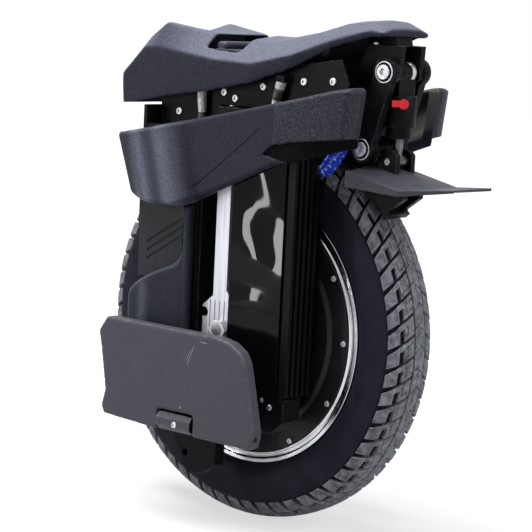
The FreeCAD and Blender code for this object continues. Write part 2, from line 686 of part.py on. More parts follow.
# Cage: a pair of arms bolted to the deck's tail plates, tied low down by a spacer tube.
def make_cage():
    ax, az = S.shock_x, S.shock_top_z
    bx, bz = S.cage_low_x, S.cage_low_z
    inner = S.arm_inner
    outer = S.arm_inner + S.arm_thick
    top = rod("arm_top", "y", S.arm_radius, (inner, outer), (ax, az))
    low = rod("arm_low", "y", S.arm_radius, (inner, outer), (bx, bz))
    half = S.arm_width / 2
    points = [(ax - half, az), (ax + half, az), (bx + half, bz), (bx - half, bz)]
    bar = extrude("arm_bar", "XZ_Plane", points, inner, outer)
    blank = fuse("arm_blank", top, low, bar)
    span = (inner - 1.0, outer + 1.0)
    bores = [rod("arm_bore_top", "y", S.cage_pin_radius, span, (ax, az)),
             rod("arm_bore_low", "y", S.cage_pin_radius, span, (bx, bz))]
    sinks = [rod("arm_sink_top", "y", S.bolt_radius + 3.0, (outer - 2.0, outer + 1.0), (ax, az)),
             rod("arm_sink_low", "y", S.bolt_radius + 3.0, (outer - 2.0, outer + 1.0), (bx, bz))]
    both_sides("cage_arm", cut("arm", blank, *bores, *sinks))
    bolts = []
    for word, x, z in (("top", ax, az), ("low", bx, bz)):
        seat = outer - 2.0
        shank = rod(f"bolt_shank_{word}", "y", S.cage_pin_radius, (-seat, seat), (x, z))
        head = rod(f"bolt_head_{word}", "y", S.bolt_radius, (seat, seat + S.bolt_head), (x, z))
        socket = rod(f"bolt_socket_{word}", "y", S.bolt_radius * 0.45,
                     (seat + 2.0, seat + S.bolt_head + 1.0), (x, z))
        headed = cut(f"bolt_cut_{word}", head, socket)
        bolts.append(fuse(f"bolt_{word}", shank, headed, mirror(f"bolt_twin_{word}", headed)))
    node("cage_bolts", group("cage_bolt_pair", *bolts))
    tube = rod("spacer_tube", "y", S.spacer_radius, (-inner, inner), (bx, bz))
    flange = rod("spacer_flange", "y", S.spacer_flange, (inner - S.spacer_lip, inner), (bx, bz))
    tube = fuse("spacer_blank", tube, flange, mirror("spacer_flange_twin", flange))
    tube_bore = rod("spacer_bore", "y", S.cage_pin_radius, (-inner - 1.0, inner + 1.0), (bx, bz))
    node("cage_spacer", cut("spacer", tube, tube_bore))
    roof = S.deck_bottom + S.cover_edge_z_8 - 7.0
    seat = S.deck_bottom + S.deck_thick
    front = S.deck_rear + 22.0
    points = [(front, seat), (front, az - 4.0), (front - 16.0, roof), (ax - 16.0, roof),
              (ax - 14.0, az - 8.0),
              (ax, az - 16.0), (ax + 14.0, az - 20.0), (S.deck_rear, seat)]
    plate = extrude("tail_plate", "XZ_Plane", points, S.bracket_inner, inner - 0.2)
    hole = rod("tail_bore", "y", S.cage_pin_radius, (S.bracket_inner - 1.0, inner), (ax, az))
    tail = cut("tail", plate, hole)
    node("tail_plates", group("tail_pair", tail, mirror("tail_twin", tail)))


# Body boxes: a battery box behind each leg with a ribbed rear wall, and a front box with its rail.
def make_boxes():
    depth = (S.box_inner, S.box_outer)
    height = (S.box_bottom, S.box_top)
    rear = box("rear_box", (S.rear_box_rear, S.rear_box_front), depth, height)
    ribs = []
    wall = S.rear_box_rear
    for index in range(5):
        y = S.box_inner + 1.0 + index * (S.rib_width + 5.0)
        ribs.append(box(f"rear_rib_{index}", (wall - S.rib_depth, wall + 1.0), (y, y + S.rib_width),
                        (S.box_bottom + 4.0, S.box_top - 8.0)))
    gland = rod("lead_gland", "x", S.lead_radius + 3.0, (S.gland_face, wall + 1.0), (S.lead_y, lead_end_z()))
    both_sides("battery_box", fuse("battery_box", rear, *ribs, gland))
    front = box("front_box", (S.front_box_rear, S.front_box_front), depth, height)
    both_sides("front_box", front)
    rail = box("rail_block", (S.rail_rear, S.front_box_rear), (S.rail_inner, S.box_outer), height)
    grooves = []
    for index in range(3):
        x = S.rail_rear + 3.0 + index * 8.0
        grooves.append(box(f"rail_groove_{index}", (x, x + 4.0), (S.box_outer - 4.0, S.box_outer + 1.0),
                           (S.box_bottom - 1.0, S.box_top + 1.0)))
    both_sides("slide_rail", cut("slide_rail", rail, *grooves))


# Side skins: a gloss panel behind the leg and a grooved panel in front of it.
def make_skins():
    depth = (S.box_outer, S.skin_outer)
    axis = V(0, 1, 0)
    low, high = S.skin_bottom, S.skin_top
    rear = [(S.rear_box_rear + 4.0, low), (S.rear_box_front + 3.0, low), (S.rear_box_front + 3.0, high),
            (S.rear_box_rear + 4.0, high)]
    panel = round_edges(extrude("gloss_blank", "XZ_Plane", rear, *depth), 5.0, axis)
    line_z = S.axle_z + 33.0
    seam = box("gloss_seam", (S.rear_box_rear, S.rear_box_front + 10.0),
               (S.skin_outer - 0.6, S.skin_outer + 1.0),
               (line_z, line_z + 1.5))
    both_sides("gloss_panel", cut("gloss_panel", panel, seam))
    foot = high - 177.0
    front = [(S.front_box_rear, foot), (S.front_box_front + 2.0, foot), (S.front_box_front + 2.0, high),
             (S.front_box_rear, high)]
    blank = round_edges(extrude("grooved_blank", "XZ_Plane", front, *depth), 5.0, axis)
    slots = []
    for index in range(3):
        z = high - 155.0 + index * 11.0
        points = [(S.front_box_rear - 1.0, z + 37.0), (S.front_box_rear - 1.0, z + 40.0),
                  (S.front_box_front - 14.0, z + 3.0), (S.front_box_front - 14.0, z)]
        slots.append(extrude(f"panel_groove_{index}", "XZ_Plane", points, S.skin_outer - 1.5,
                             S.skin_outer + 1.0))
    both_sides("grooved_panel", cut("grooved_panel", blank, *slots))


# Lower frame: a rail under the boxes on each side, with the pedal hanger bolted to it.
def make_lower_frame():
    top = S.box_bottom
    points = [(S.rear_box_rear - 6.0, top), (S.rear_box_rear - 6.0, top - 28.0),
              (S.rear_box_rear + 14.0, S.frame_bottom),
              (S.front_box_rear + 10.0, S.frame_bottom), (S.front_box_front, top - 10.0),
              (S.front_box_front, top)]
    both_sides("lower_frame", extrude("lower_frame", "XZ_Plane", points, S.rail_inner, S.box_outer))
    low = S.hanger_bottom
    x = S.knuckle_rear
    points = [(x, S.frame_bottom), (x, low + 18.0), (x + 22.0, low + 4.0), (x + 47.0, low),
              (x + 76.0, low + 48.0),
              (x + 76.0, S.frame_bottom)]
    plate = extrude("hanger_plate", "XZ_Plane", points, S.hanger_inner, S.hanger_outer)
    span = (S.knuckle_rear, S.knuckle_front)
    barrel = rod("hanger_barrel", "x", S.knuckle_radius, span, (S.hinge_y, S.hinge_z))
    neck = box("hanger_neck", span, (S.hanger_outer, S.hinge_y),
               (S.hinge_z - S.knuckle_radius, S.frame_bottom))
    blank = fuse("hanger_blank", plate, barrel, neck)
    bore = rod("hanger_bore", "x", S.hinge_pin, (S.knuckle_rear - 1.0, S.knuckle_front + 1.0),
               (S.hinge_y, S.hinge_z))
    hole = rod("hanger_hole", "y", 5.0, (S.hanger_inner - 1.0, S.hanger_outer + 1.0), (x + 52.0, low + 26.0))
    both_sides("pedal_hanger", cut("hanger", blank, bore, hole))
    pin = rod("hinge_pin", "x", S.hinge_pin, (S.pedal_rear + 8.0, S.pedal_front - 30.0),
              (S.hinge_y, S.hinge_z))
    node("hinge_pins", group("hinge_pin_pair", pin, mirror("hinge_pin_twin", pin)))


# Pedal: a broad plate folded up beside the body, notched round the hanger's knuckle.
def make_pedals():
    inner = S.hinge_y - S.pedal_thick / 2
    outer = S.hinge_y + S.pedal_thick / 2
    low, top = S.pedal_bottom, S.pedal_top
    front, rear = S.pedal_front, S.pedal_rear
    gap = S.pedal_gap
    notch = S.hinge_z + S.knuckle_radius + gap + 1.0
    points = [(front - 14.0, low + 4.0), (front - 9.0, low + 14.0), (front - 15.0, low + 36.0),
              (front - 5.0, top - 40.0),
              (front, top - 20.0), (front - 14.0, top), (rear + 66.0, top), (rear + 44.0, top - 4.0),
              (rear + 27.0, top - 14.0), (rear + 19.0, top - 28.0), (rear, low + 22.0),
              (rear + 3.0, low + 3.0),
              (rear + 8.0, low), (S.knuckle_rear - gap, low), (S.knuckle_rear - gap, notch),
              (S.knuckle_front + gap, notch), (S.knuckle_front + gap, low)]
    plate = extrude("pedal_plate", "XZ_Plane", points, inner, outer)
    bore = rod("pedal_bore", "x", S.hinge_pin + S.run_clear, (rear - 1.0, front - 29.0),
               (S.hinge_y, S.hinge_z))
    both_sides("pedal", cut("pedal", plate, bore))


def cover_lead_spots():
    return [("front", S.front_lead_x, S.front_lead_top), ("rear", S.rear_lead_x, S.rear_lead_top)]


# Deck: a tray on top of the boxes with side walls, the controller in it and a front bulkhead.
def make_deck():
    half = S.deck_half
    low = S.deck_bottom
    wall = S.deck_wall
    top = S.box_top
    base = box("deck_base", (S.deck_rear, S.front_box_front), (-half + wall, half - wall),
               (low, low + S.deck_thick))
    notch = low - S.deck_gap + S.notch_clear
    points = [(S.front_box_front, top), (S.front_box_front, low + 8.0), (S.front_box_rear, low + 18.0),
              (S.rear_box_front - 40.0, low + 44.0), (S.deck_rear + 12.0, low + 58.0),
              (S.deck_rear, low + 30.0),
              (S.deck_rear, low), (S.rear_box_rear, top), (S.rear_box_front, top), (S.rear_box_front, notch),
              (S.rail_rear, notch), (S.rail_rear, top)]
    side = extrude("deck_side", "XZ_Plane", points, half - wall, half)
    sockets = []
    for word, x, z in cover_lead_spots():
        reach = S.cover_lead_y + S.cover_lead_radius
        socket = box(f"lead_socket_{word}", (x - 6.0, x + 6.0), (half - 1.0, reach), (z, z + 8.0))
        sockets += [socket, mirror(f"lead_socket_{word}_twin", socket)]
    blank = fuse("deck_blank", base, side, mirror("deck_side_twin", side), *sockets)
    holes = []
    for word, y in (("left", S.tube_y), ("right", -S.tube_y)):
        holes.append(rod(f"deck_hole_{word}", "z", S.guide_radius, (low - 1.0, low + S.deck_thick + 1.0),
                         (S.tube_x, y)))
    node("deck", cut("deck", blank, *holes))
    board = box("controller_case", (S.deck_rear + 30.0, S.tube_x - 20.0), (-44.0, 44.0),
                (low + S.deck_thick, low + S.deck_thick + 26.0))
    node("controller", board)
    face = S.front_box_front
    plate = box("bulkhead_plate", (face, face + S.bulkhead_thick), (-S.box_outer, S.box_outer),
                (S.bulkhead_bottom, S.bulkhead_top))
    port = rod("button_port", "x", S.button_radius + S.run_clear, (face - 1.0, face + S.bulkhead_thick + 1.0),
               (S.button_y, S.button_z))
    node("front_bulkhead", cut("bulkhead", plate, port))
    front = face + S.bulkhead_thick
    rear_lamp = box("lamp_case", (front, front + S.lamp_depth), (-S.lamp_half, S.lamp_half),
                    (S.lamp_bottom, S.lamp_top))
    node("headlamp_body", rear_lamp)
    lens = box("lamp_lens", (front + S.lamp_depth, front + S.lamp_depth + S.lens_depth),
               (-S.lamp_half + 3.0, S.lamp_half - 3.0), (S.lamp_bottom + 3.0, S.lamp_top - 3.0))
    node("headlamp_lens", lens)
    node("power_button", rod("power_button", "x", S.button_radius,
                             (face + S.button_travel + 0.5, front + S.button_depth),
                             (S.button_y, S.button_z)))


# Top cover: a faceted saddle shell, low in the middle, with a slot for the handle's grip.
def make_cover():
    wall = S.cover_wall

    def across(row, inset, drop):
        edge_z, ridge_z, crown_z, mid_z = row[2], row[4], row[6], row[7]
        edge, ridge, crown = (S.deck_half + row[k] for k in (1, 3, 5))
        base = S.deck_bottom
        half = [(edge - inset, base + edge_z - drop), (ridge - inset, base + ridge_z - inset),
                (crown - inset, base + crown_z - inset), (size(0), base + mid_z - inset)]
        return half + [(-y, z) for y, z in half[-2::-1]]

    skin = [(row[0], across(row, 0.0, 0.0)) for row in cover_rows]
    ends = [cover_rows[0][0] - wall] + [row[0] for row in cover_rows[1:-1]] + [cover_rows[-1][0] + wall]
    inside = [(x, across(row, wall, 8.0)) for x, row in zip(ends, cover_rows)]
    outer = loft("cover_skin", skin)
    shell = cut("cover_shell", outer, loft("cover_inside", inside))
    posts = []
    for word, x in (("front", S.boss_front), ("rear", S.boss_rear)):
        for side, y in (("left", S.boss_y), ("right", -S.boss_y)):
            posts.append(rod(f"boss_{word}_{side}", "z", S.boss_radius,
                             (S.deck_bottom + S.deck_thick, S.deck_bottom + 160.0), (x, y)))
    bosses = doc.addObject("Part::MultiCommon", "cover_bosses")
    bosses.Shapes = [outer, fuse("boss_posts", *posts)]
    slot = box("cover_slot", (S.slot_rear, S.slot_front), (-S.slot_half, S.slot_half),
               (S.grip_top - S.grip_thick - 30.0, S.grip_top + 60.0))
    node("top_cover", cut("top_cover", fuse("cover_blank", shell, bosses), slot))


# Handle: a cross grip in the cover's slot on two tubes that draw up through guides in the deck.
def make_handle():
    low = S.grip_top - S.grip_thick
    points = [(S.grip_rear, low), (S.grip_front, low), (S.grip_front, S.grip_top), (S.grip_rear, S.grip_top)]
    bar = extrude("grip_bar", "XZ_Plane", points, -S.grip_half, S.grip_half)
    node("trolley_grip", round_edges(bar, 5.0, V(0, 1, 0)))
    tubes = []
    guides = []
    for word, y in (("left", S.tube_y), ("right", -S.tube_y)):
        at = (S.tube_x, y)
        tubes.append(rod(f"tube_{word}", "z", S.tube_radius, (S.tube_bottom, low), at))
        ring = rod(f"guide_ring_{word}", "z", S.guide_radius,
                   (S.deck_bottom, S.deck_bottom + S.guide_height), at)
        bore = rod(f"guide_bore_{word}", "z", S.tube_radius + S.run_clear,
                   (S.deck_bottom - 1.0, S.deck_bottom + S.guide_height + 1.0), at)
        guides.append(cut(f"guide_{word}", ring, bore))
    node("trolley_tubes", group("tube_pair", *tubes))
    node("trolley_guides", group("guide_pair", *guides))


# Pads: the long leg pad with its bulge at the front, and the hooked pad over the instep.
def make_pads():
    rows = []
    for x, gap, thick, low, high in pad_rows:
        inner = S.skin_outer + gap
        outer = inner + thick
        swell = thick * 0.35
        low = S.box_top + low
        high = S.box_top + high
        rows.append((x, [(inner, low), (outer - swell, low), (outer, low + 14.0), (outer, high - 14.0),
                         (outer - swell, high), (inner, high)]))
    both_sides("leg_pad", loft("leg_pad", rows))
    inner = S.skin_outer + S.pad_gap
    rear = S.rail_rear + 8.0
    front = S.front_box_front
    foot = S.pedal_top - 26.0
    rise = S.box_top + S.pad_low_z_4 - 2.0 - foot
    shape = [(rear, 0.0), (front - 8.0, 0.0), (front - 6.0, 0.17), (front - 12.0, 0.33), (front - 24.0, 0.43),
             (rear + 50.0, 0.51), (rear + 24.0, 0.58), (rear + 10.0, 0.69), (rear + 8.0, 0.85),
             (rear + 14.0, 1.0),
             (rear, 1.0)]
    points = [(x, foot + rise * share) for x, share in shape]
    both_sides("instep_pad", extrude("instep_pad", "XZ_Plane", points, inner, inner + S.instep_thick))


# Leads: a sleeved battery lead behind each box, and short leads up to sockets on the deck walls.
def lead_turns():
    """Where the battery lead's bends begin and end, in the plane across the axle."""
    half = tangent(S.lead_slope / 2)
    upper = S.upper_bend * half
    lower = S.lower_bend * tangent((90.0 - S.lead_slope) / 2)
    corner_x = S.gland_face - 3.0 - lower
    corner_z = S.lead_turn_z - (corner_x - S.lead_x) / tangent(S.lead_slope)
    return upper, lower, corner_x, corner_z


def lead_end_z():
    return lead_turns()[3]


def bend(name, radius, tube, at, axes, angle):
    """Part of a ring: axes are the directions it starts in and turns towards."""
    obj = doc.addObject("Part::Torus", name)
    bind(obj, "Radius1", radius)
    bind(obj, "Radius2", tube)
    bind(obj, "Angle3", angle)
    obj.Placement = FreeCAD.Placement(V(0, 0, 0),
                                      FreeCAD.Rotation(axes[0], axes[1], axes[0].cross(axes[1]), "XYZ"))
    return place(obj, *at)


def make_leads():
    x, y = S.lead_x, S.lead_y
    upper, lower, corner_x, corner_z = lead_turns()
    slope = S.lead_slope
    top = S.deck_bottom
    start = top - S.lead_stub
    stub = rod("lead_stub", "z", S.lead_radius, (start, top), (x, y))
    drop = rod("sleeve_drop", "z", S.sleeve_radius, (S.lead_turn_z + upper, start), (x, y))
    turn = bend("sleeve_turn", S.upper_bend, S.sleeve_radius, (x + S.upper_bend, y, S.lead_turn_z + upper),
                (V(-1, 0, 0), V(0, 0, -1)), slope)
    run = doc.addObject("Part::Cylinder", "sleeve_run")
    reach = (corner_x - x) / sine(slope) - upper - lower
    bind(run, "Radius", S.sleeve_radius)
    bind(run, "Height", reach)
    run.Placement = FreeCAD.Placement(V(0, 0, 0), FreeCAD.Rotation(V(0, 1, 0), 180 - slope.value))
    bind(run, "Placement.Rotation.Angle", 180.0 - slope)
    place(run, x + upper * sine(slope), y, S.lead_turn_z - upper * cosine(slope))
    both_sides("lead_sleeve", fuse("lead_sleeve", drop, turn, run))
    tail = bend("lead_turn", S.lower_bend, S.lead_radius, (corner_x + lower, y, corner_z + S.lower_bend),
                (V(0, 0, -1), V(-1, 0, 0)), 90.0 - slope)
    last = rod("lead_last", "x", S.lead_radius, (corner_x + lower, S.gland_face), (y, corner_z))
    both_sides("battery_lead", group("battery_lead", stub, fuse("lead_tail", tail, last)))
    leads = []
    for word, spot, high in cover_lead_spots():
        at = (spot, S.cover_lead_y)
        boot = rod(f"cover_boot_{word}", "z", S.boot_radius, (S.box_top, S.box_top + S.boot_height), at)
        sleeve = rod(f"cover_lead_{word}", "z", S.cover_lead_radius, (S.box_top + S.boot_height, high), at)
        lead = fuse(f"cover_lead_whole_{word}", boot, sleeve)
        leads += [lead, mirror(f"cover_lead_twin_{word}", lead)]
    node("cover_leads", group("cover_lead_set", *leads))


make_tyre()
make_rim()
make_motor()
make_axle()
make_fork()
make_stay()
make_mudguard()
make_shock()
make_cage()
make_boxes()
make_skins()
make_lower_frame()
make_pedals()
make_deck()
make_cover()
make_handle()
make_pads()
make_leads()
doc.recompute()

for obj in doc.Objects:
    if "Invalid" in obj.State or "Error" in obj.State:
        raise RuntimeError(f"{obj.Label} did not build: {obj.State}")
for label, obj in NODES:
    if obj.Shape.isNull() or not obj.Shape.isValid() or not obj.Shape.Solids:
        raise RuntimeError(f"{label} has no valid solid")

os.makedirs("parts", exist_ok=True)
for label, obj in NODES:
    obj.Shape.exportStep(f"parts/{label}.step")
    print(label, len(obj.Shape.Solids), round(obj.Shape.Volume / 1000.0, 1))
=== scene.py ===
import math

import bmesh
import bpy
from mathutils import Matrix, Vector


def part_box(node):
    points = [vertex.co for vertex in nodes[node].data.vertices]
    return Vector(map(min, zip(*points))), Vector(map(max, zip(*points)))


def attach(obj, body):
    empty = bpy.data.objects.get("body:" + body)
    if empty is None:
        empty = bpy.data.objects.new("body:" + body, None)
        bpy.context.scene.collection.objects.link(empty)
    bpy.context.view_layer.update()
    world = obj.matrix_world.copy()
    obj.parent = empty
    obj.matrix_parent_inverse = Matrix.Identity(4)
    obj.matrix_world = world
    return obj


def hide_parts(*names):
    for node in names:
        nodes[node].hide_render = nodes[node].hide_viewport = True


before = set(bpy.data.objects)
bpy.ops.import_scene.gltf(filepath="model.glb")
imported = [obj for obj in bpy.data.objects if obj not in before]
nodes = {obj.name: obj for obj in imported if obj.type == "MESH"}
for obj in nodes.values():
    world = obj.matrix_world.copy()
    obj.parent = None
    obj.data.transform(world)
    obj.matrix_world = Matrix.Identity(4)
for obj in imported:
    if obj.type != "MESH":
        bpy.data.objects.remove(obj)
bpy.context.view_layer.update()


# Studio: a sweep of paper that glows white to the eye, one broad soft box overhead, two narrow strips in
# front and a fill behind. The machine stands on the paper on its wheel, seen from behind its left side.
white = (1.0, 1.0, 1.0, 1.0)
paper_half = 9.0
paper_tone = (0.40, 0.40, 0.405)
near_reach, far_reach = 0.3, 1.3
near_glow, far_glow = 0.62, 1.0
sky_tone = (0.93, 0.96, 1.0)
sky_strength = 0.10


def new_finish(name):
    """A new finish, its node tree and its surface shader."""
    finish = bpy.data.materials.new(name)
    finish.use_nodes = True
    return finish, finish.node_tree, finish.node_tree.nodes["Principled BSDF"]


def on_piece(tree):
    """The place on a piece, in metres."""
    return tree.nodes.new("ShaderNodeTexCoord").outputs["Object"]


def combine(tree, operation, first, second):
    """Two values joined into one."""
    node = tree.nodes.new("ShaderNodeMath")
    node.operation = operation
    tree.links.new(first, node.inputs[0])
    tree.links.new(second, node.inputs[1])
    return node.outputs["Value"]


def spread(tree, factor, low, high, start=0.3, end=0.7):
    """A value that goes from low to high as a factor goes from start to end."""
    span = tree.nodes.new("ShaderNodeMapRange")
    span.inputs["From Min"].default_value = start
    span.inputs["From Max"].default_value = end
    span.inputs["To Min"].default_value = low
    span.inputs["To Max"].default_value = high
    tree.links.new(factor, span.inputs["Value"])
    return span.outputs["Result"]


def seen_by_eye(tree):
    """1 for rays that show a thing straight, mirrored or through glass, and 0 for those that only light."""
    ray = tree.nodes.new("ShaderNodeLightPath")
    seen = ray.outputs["Is Camera Ray"]
    for kind in ("Is Glossy Ray", "Is Transmission Ray"):
        seen = combine(tree, "MAXIMUM", seen, ray.outputs[kind])
    return seen


paper_form = bmesh.new()
bmesh.ops.create_grid(paper_form, x_segments=8, y_segments=8, size=paper_half)
paper_mesh = bpy.data.meshes.new("studio_paper")
paper_form.to_mesh(paper_mesh)
paper_form.free()
paper = bpy.data.objects.new("studio_paper", paper_mesh)
bpy.context.scene.collection.objects.link(paper)

paper_finish, tree, surface = new_finish("studio_paper")
surface.inputs["Base Color"].default_value = (*paper_tone, 1.0)
surface.inputs["Roughness"].default_value = 0.9
surface.inputs["Specular IOR Level"].default_value = 0.1
distance = tree.nodes.new("ShaderNodeVectorMath")
distance.operation = "LENGTH"
tree.links.new(on_piece(tree), distance.inputs[0])
shade = spread(tree, distance.outputs["Value"], near_glow, far_glow, near_reach, far_reach)
glow = tree.nodes.new("ShaderNodeEmission")
glow.inputs["Color"].default_value = white
tree.links.new(combine(tree, "MULTIPLY", seen_by_eye(tree), shade), glow.inputs["Strength"])
both = tree.nodes.new("ShaderNodeAddShader")
tree.links.new(surface.outputs["BSDF"], both.inputs[0])
tree.links.new(glow.outputs["Emission"], both.inputs[1])
tree.links.new(both.outputs["Shader"], tree.nodes["Material Output"].inputs["Surface"])
paper_mesh.materials.append(paper_finish)

world = bpy.data.worlds.new("studio")
bpy.context.scene.world = world
world.use_nodes = True
tree = world.node_tree
backdrop = tree.nodes["Background"]
backdrop.inputs["Color"].default_value = white
backdrop.inputs["Strength"].default_value = 1.0
sky = tree.nodes.new("ShaderNodeBackground")
sky.inputs["Color"].default_value = (*sky_tone, 1.0)
sky.inputs["Strength"].default_value = sky_strength
choice = tree.nodes.new("ShaderNodeMixShader")
tree.links.new(seen_by_eye(tree), choice.inputs["Fac"])
tree.links.new(sky.outputs["Background"], choice.inputs[1])
tree.links.new(backdrop.outputs["Background"], choice.inputs[2])
tree.links.new(choice.outputs["Shader"], tree.nodes["World Output"].inputs["Surface"])


def soft_box(name, place, target, width, height, power):
    """A rectangular studio lamp that faces a point on the machine."""
    lamp = bpy.data.lights.new(name, "AREA")
    lamp.shape = "RECTANGLE"
    lamp.size = width
    lamp.size_y = height
    lamp.energy = power
    stand = bpy.data.objects.new(name, lamp)
    stand.location = place
    stand.rotation_euler = (Vector(target) - Vector(place)).to_track_quat("-Z", "Y").to_euler()
    bpy.context.scene.collection.objects.link(stand)


middle = (0.0, 0.0, 0.33)
soft_box("overhead_box", (0.25, 0.35, 2.1), middle, 1.6, 1.6, 76.0)
soft_box("front_strip", (1.40, 1.80, 0.62), middle, 0.045, 1.25, 6.8)
soft_box("side_strip", (1.02, 2.02, 0.75), middle, 0.045, 1.25, 6.5)
soft_box("rear_fill", (-1.9, -0.3, 1.1), middle, 0.9, 1.2, 19.0)

view_turn = math.radians(221.0)
view_rise = math.radians(7.5)
view_roll = math.radians(2.8)
view_reach = 2.6
view_centre = Vector((0.0, 0.0, 0.32511))
view_slip = -0.003576
picture_pixels = 532.0
focal_pixels = 2018.2
sensor_width = 36.0
back = Vector((math.sin(view_turn) * math.cos(view_rise), -math.cos(view_turn) * math.cos(view_rise),
               math.sin(view_rise)))
level = Vector((0.0, 0.0, 1.0)).cross(back).normalized()
view_frame = Matrix((level, back.cross(level), back)).transposed() @ Matrix.Rotation(view_roll, 3, "Z")
view_place = view_centre + back * view_reach + level * view_slip
camera_data = bpy.data.cameras.new("camera")
camera_data.sensor_width = sensor_width
camera_data.lens = sensor_width * focal_pixels / picture_pixels
camera = bpy.data.objects.new("camera", camera_data)
camera.matrix_world = Matrix.Translation(view_place) @ view_frame.to_4x4()
bpy.context.scene.collection.objects.link(camera)
bpy.context.scene.camera = camera
bpy.context.scene.view_settings.view_transform = "Standard"


# Tyre: a wide dual-sport tyre, moulded in black rubber with a smooth sidewall and a tread of small blocks.
# A slot parts each shoulder block from the slit block further in, and a bridge joins the two. The tyre's
# beads sit behind the flanges of the rim.
tyre_low, tyre_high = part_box("tyre")
wheel_radius = (tyre_high[2] - tyre_low[2]) / 2
axle_height = (tyre_high[2] + tyre_low[2]) / 2
tyre_half = tyre_high[1]
section_height = 0.080
tyre_outline = [(0.0, 0.0), (0.30, 0.011), (0.579, 0.044), (0.80, 0.105), (0.905, 0.185), (0.975, 0.30),
                (1.0, 0.4625), (0.975, 0.65), (0.895, 0.8125), (0.80, 0.885), (0.737, 0.93), (0.737, 1.0)]
casing = 0.006
tread_depth = 0.0050
tread_reach = 0.0475
tread_fade = 0.003
pitch_count = 30
pitch = 2 * math.pi * wheel_radius / pitch_count
slant = 0.62
pair_spans = ((0.04, 0.45), (0.54, 0.95))
centre_spans = ((0.05, 0.60), (0.63, 1.02))
shoulder_taper = 0.035
slot_outer = 0.0318
slot_inner = 0.0252
inner_row = 0.0112
centre_row = 0.0088
crown_gap = 0.0004
bridge_length = 0.125
bridge_sink = 0.0004
slit_depth = 0.0014
slit_rail = 0.085
slit_gap = 0.02
slit_band = 0.0036
slit_width = 0.0012
block_root = 0.001
plate_root = 0.0008
block_chamfer = 0.0005
foot_flare = 0.0007


def place_piece(name, shape, body):
    """Puts a piece into the scene and lets it ride on a body."""
    piece = bpy.data.objects.new(name, shape)
    bpy.context.scene.collection.objects.link(piece)
    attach(piece, body)
    return piece


def new_piece(name, form, body, slot_name, *finishes):
    """Makes one piece of a mesh under work and gives it its finishes."""
    mesh = bpy.data.meshes.new(name)
    form.normal_update()
    form.to_mesh(mesh)
    form.free()
    for finish in finishes:
        mesh.materials.append(finish)
    return place_piece(name, mesh, body)


def smooth_curve(points, steps):
    """Points along a smooth line through the given ones."""
    ends = [points[0]] + points + [points[-1]]
    line = []
    for k in range(len(points) - 1):
        a, b, c, d = (Vector(p) for p in ends[k:k + 4])
        for step in range(steps):
            t = step / steps
            line.append(b + ((c - a) * t + (a * 2 - b * 5 + c * 4 - d) * t * t
                             + (b * 3 - a - c * 3 + d) * t ** 3) * 0.5)
    line.append(Vector(points[-1]))
    return line


half_skin = [Vector((y * tyre_half, wheel_radius - drop * section_height))
             for y, drop in smooth_curve(tyre_outline, 6)]
skin_reach = [0.0]
for here, there in zip(half_skin, half_skin[1:]):
    skin_reach.append(skin_reach[-1] + (there - here).length)


def on_skin(across, sink):
    """Width and radius of the point that lies a distance across from the crown, sunk below the skin."""
    reach = min(abs(across), skin_reach[-1] - 1e-6)
    k = max(i for i, r in enumerate(skin_reach) if r <= reach)
    run = half_skin[k + 1] - half_skin[k]
    outward = Vector((-run.y, run.x)).normalized()
    spot = half_skin[k] + run * ((reach - skin_reach[k]) / run.length) - outward * sink
    return math.copysign(spot.x, across), spot.y


def on_wheel(width, radius, angle):
    """The point at a width and radius on the wheel, turned forward from its top."""
    return Vector((radius * math.sin(angle), width, axle_height + radius * math.cos(angle)))


def block_on_tyre(form, corners, top, foot):
    """One block: four corners as distance round and across, a chamfered top and a foot in the carcass."""
    p00, p10, p11, p01 = (Vector(corner) for corner in corners)
    long_side = ((p10 - p00).length + (p11 - p01).length) / 2
    short_side = ((p01 - p00).length + (p11 - p10).length) / 2
    rim = [(0, 0), (1, 0), (2, 0), (2, 1), (2, 2), (1, 2), (0, 2), (0, 1)]

    def spot(i, j, grow, sink):
        a = i / 2 + (i - 1) * grow / long_side
        b = j / 2 + (j - 1) * grow / short_side
        flat = (p00 * (1 - a) + p10 * a) * (1 - b) + (p01 * (1 - a) + p11 * a) * b
        width, radius = on_skin(flat.y, sink)
        return form.verts.new(on_wheel(width, radius, flat.x / wheel_radius))

    def lid(grow, sink, order):
        grid = [[spot(i, j, grow, sink) for i in range(3)] for j in range(3)]
        for j in range(2):
            for i in range(2):
                form.faces.new([grid[j][i], grid[j][i + 1], grid[j + 1][i + 1], grid[j + 1][i]][::order])
        return [grid[j][i] for i, j in rim]

    upper = lid(-block_chamfer, top, 1)
    lower = lid(foot_flare, foot, -1)
    shoulder = [spot(i, j, 0.0, top + block_chamfer) for i, j in rim]
    for high_ring, low_ring in ((upper, shoulder), (shoulder, lower)):
        for k in range(len(rim)):
            n = (k + 1) % len(rim)
            form.faces.new([high_ring[n], high_ring[k], low_ring[k], low_ring[n]])


def tread_quad(start, side, low, high, inner, outer, taper=0.0):
    """Corners of one block: shares of a pitch round the tyre and distances across it, on a slant."""
    shares = [(low, inner), (high, inner), (high - taper, outer), (low + taper, outer)]
    ring = [(start + along * pitch + (tread_reach - across) * slant, side * across)
            for along, across in shares]
    return ring if side < 0 else [ring[1], ring[0], ring[3], ring[2]]


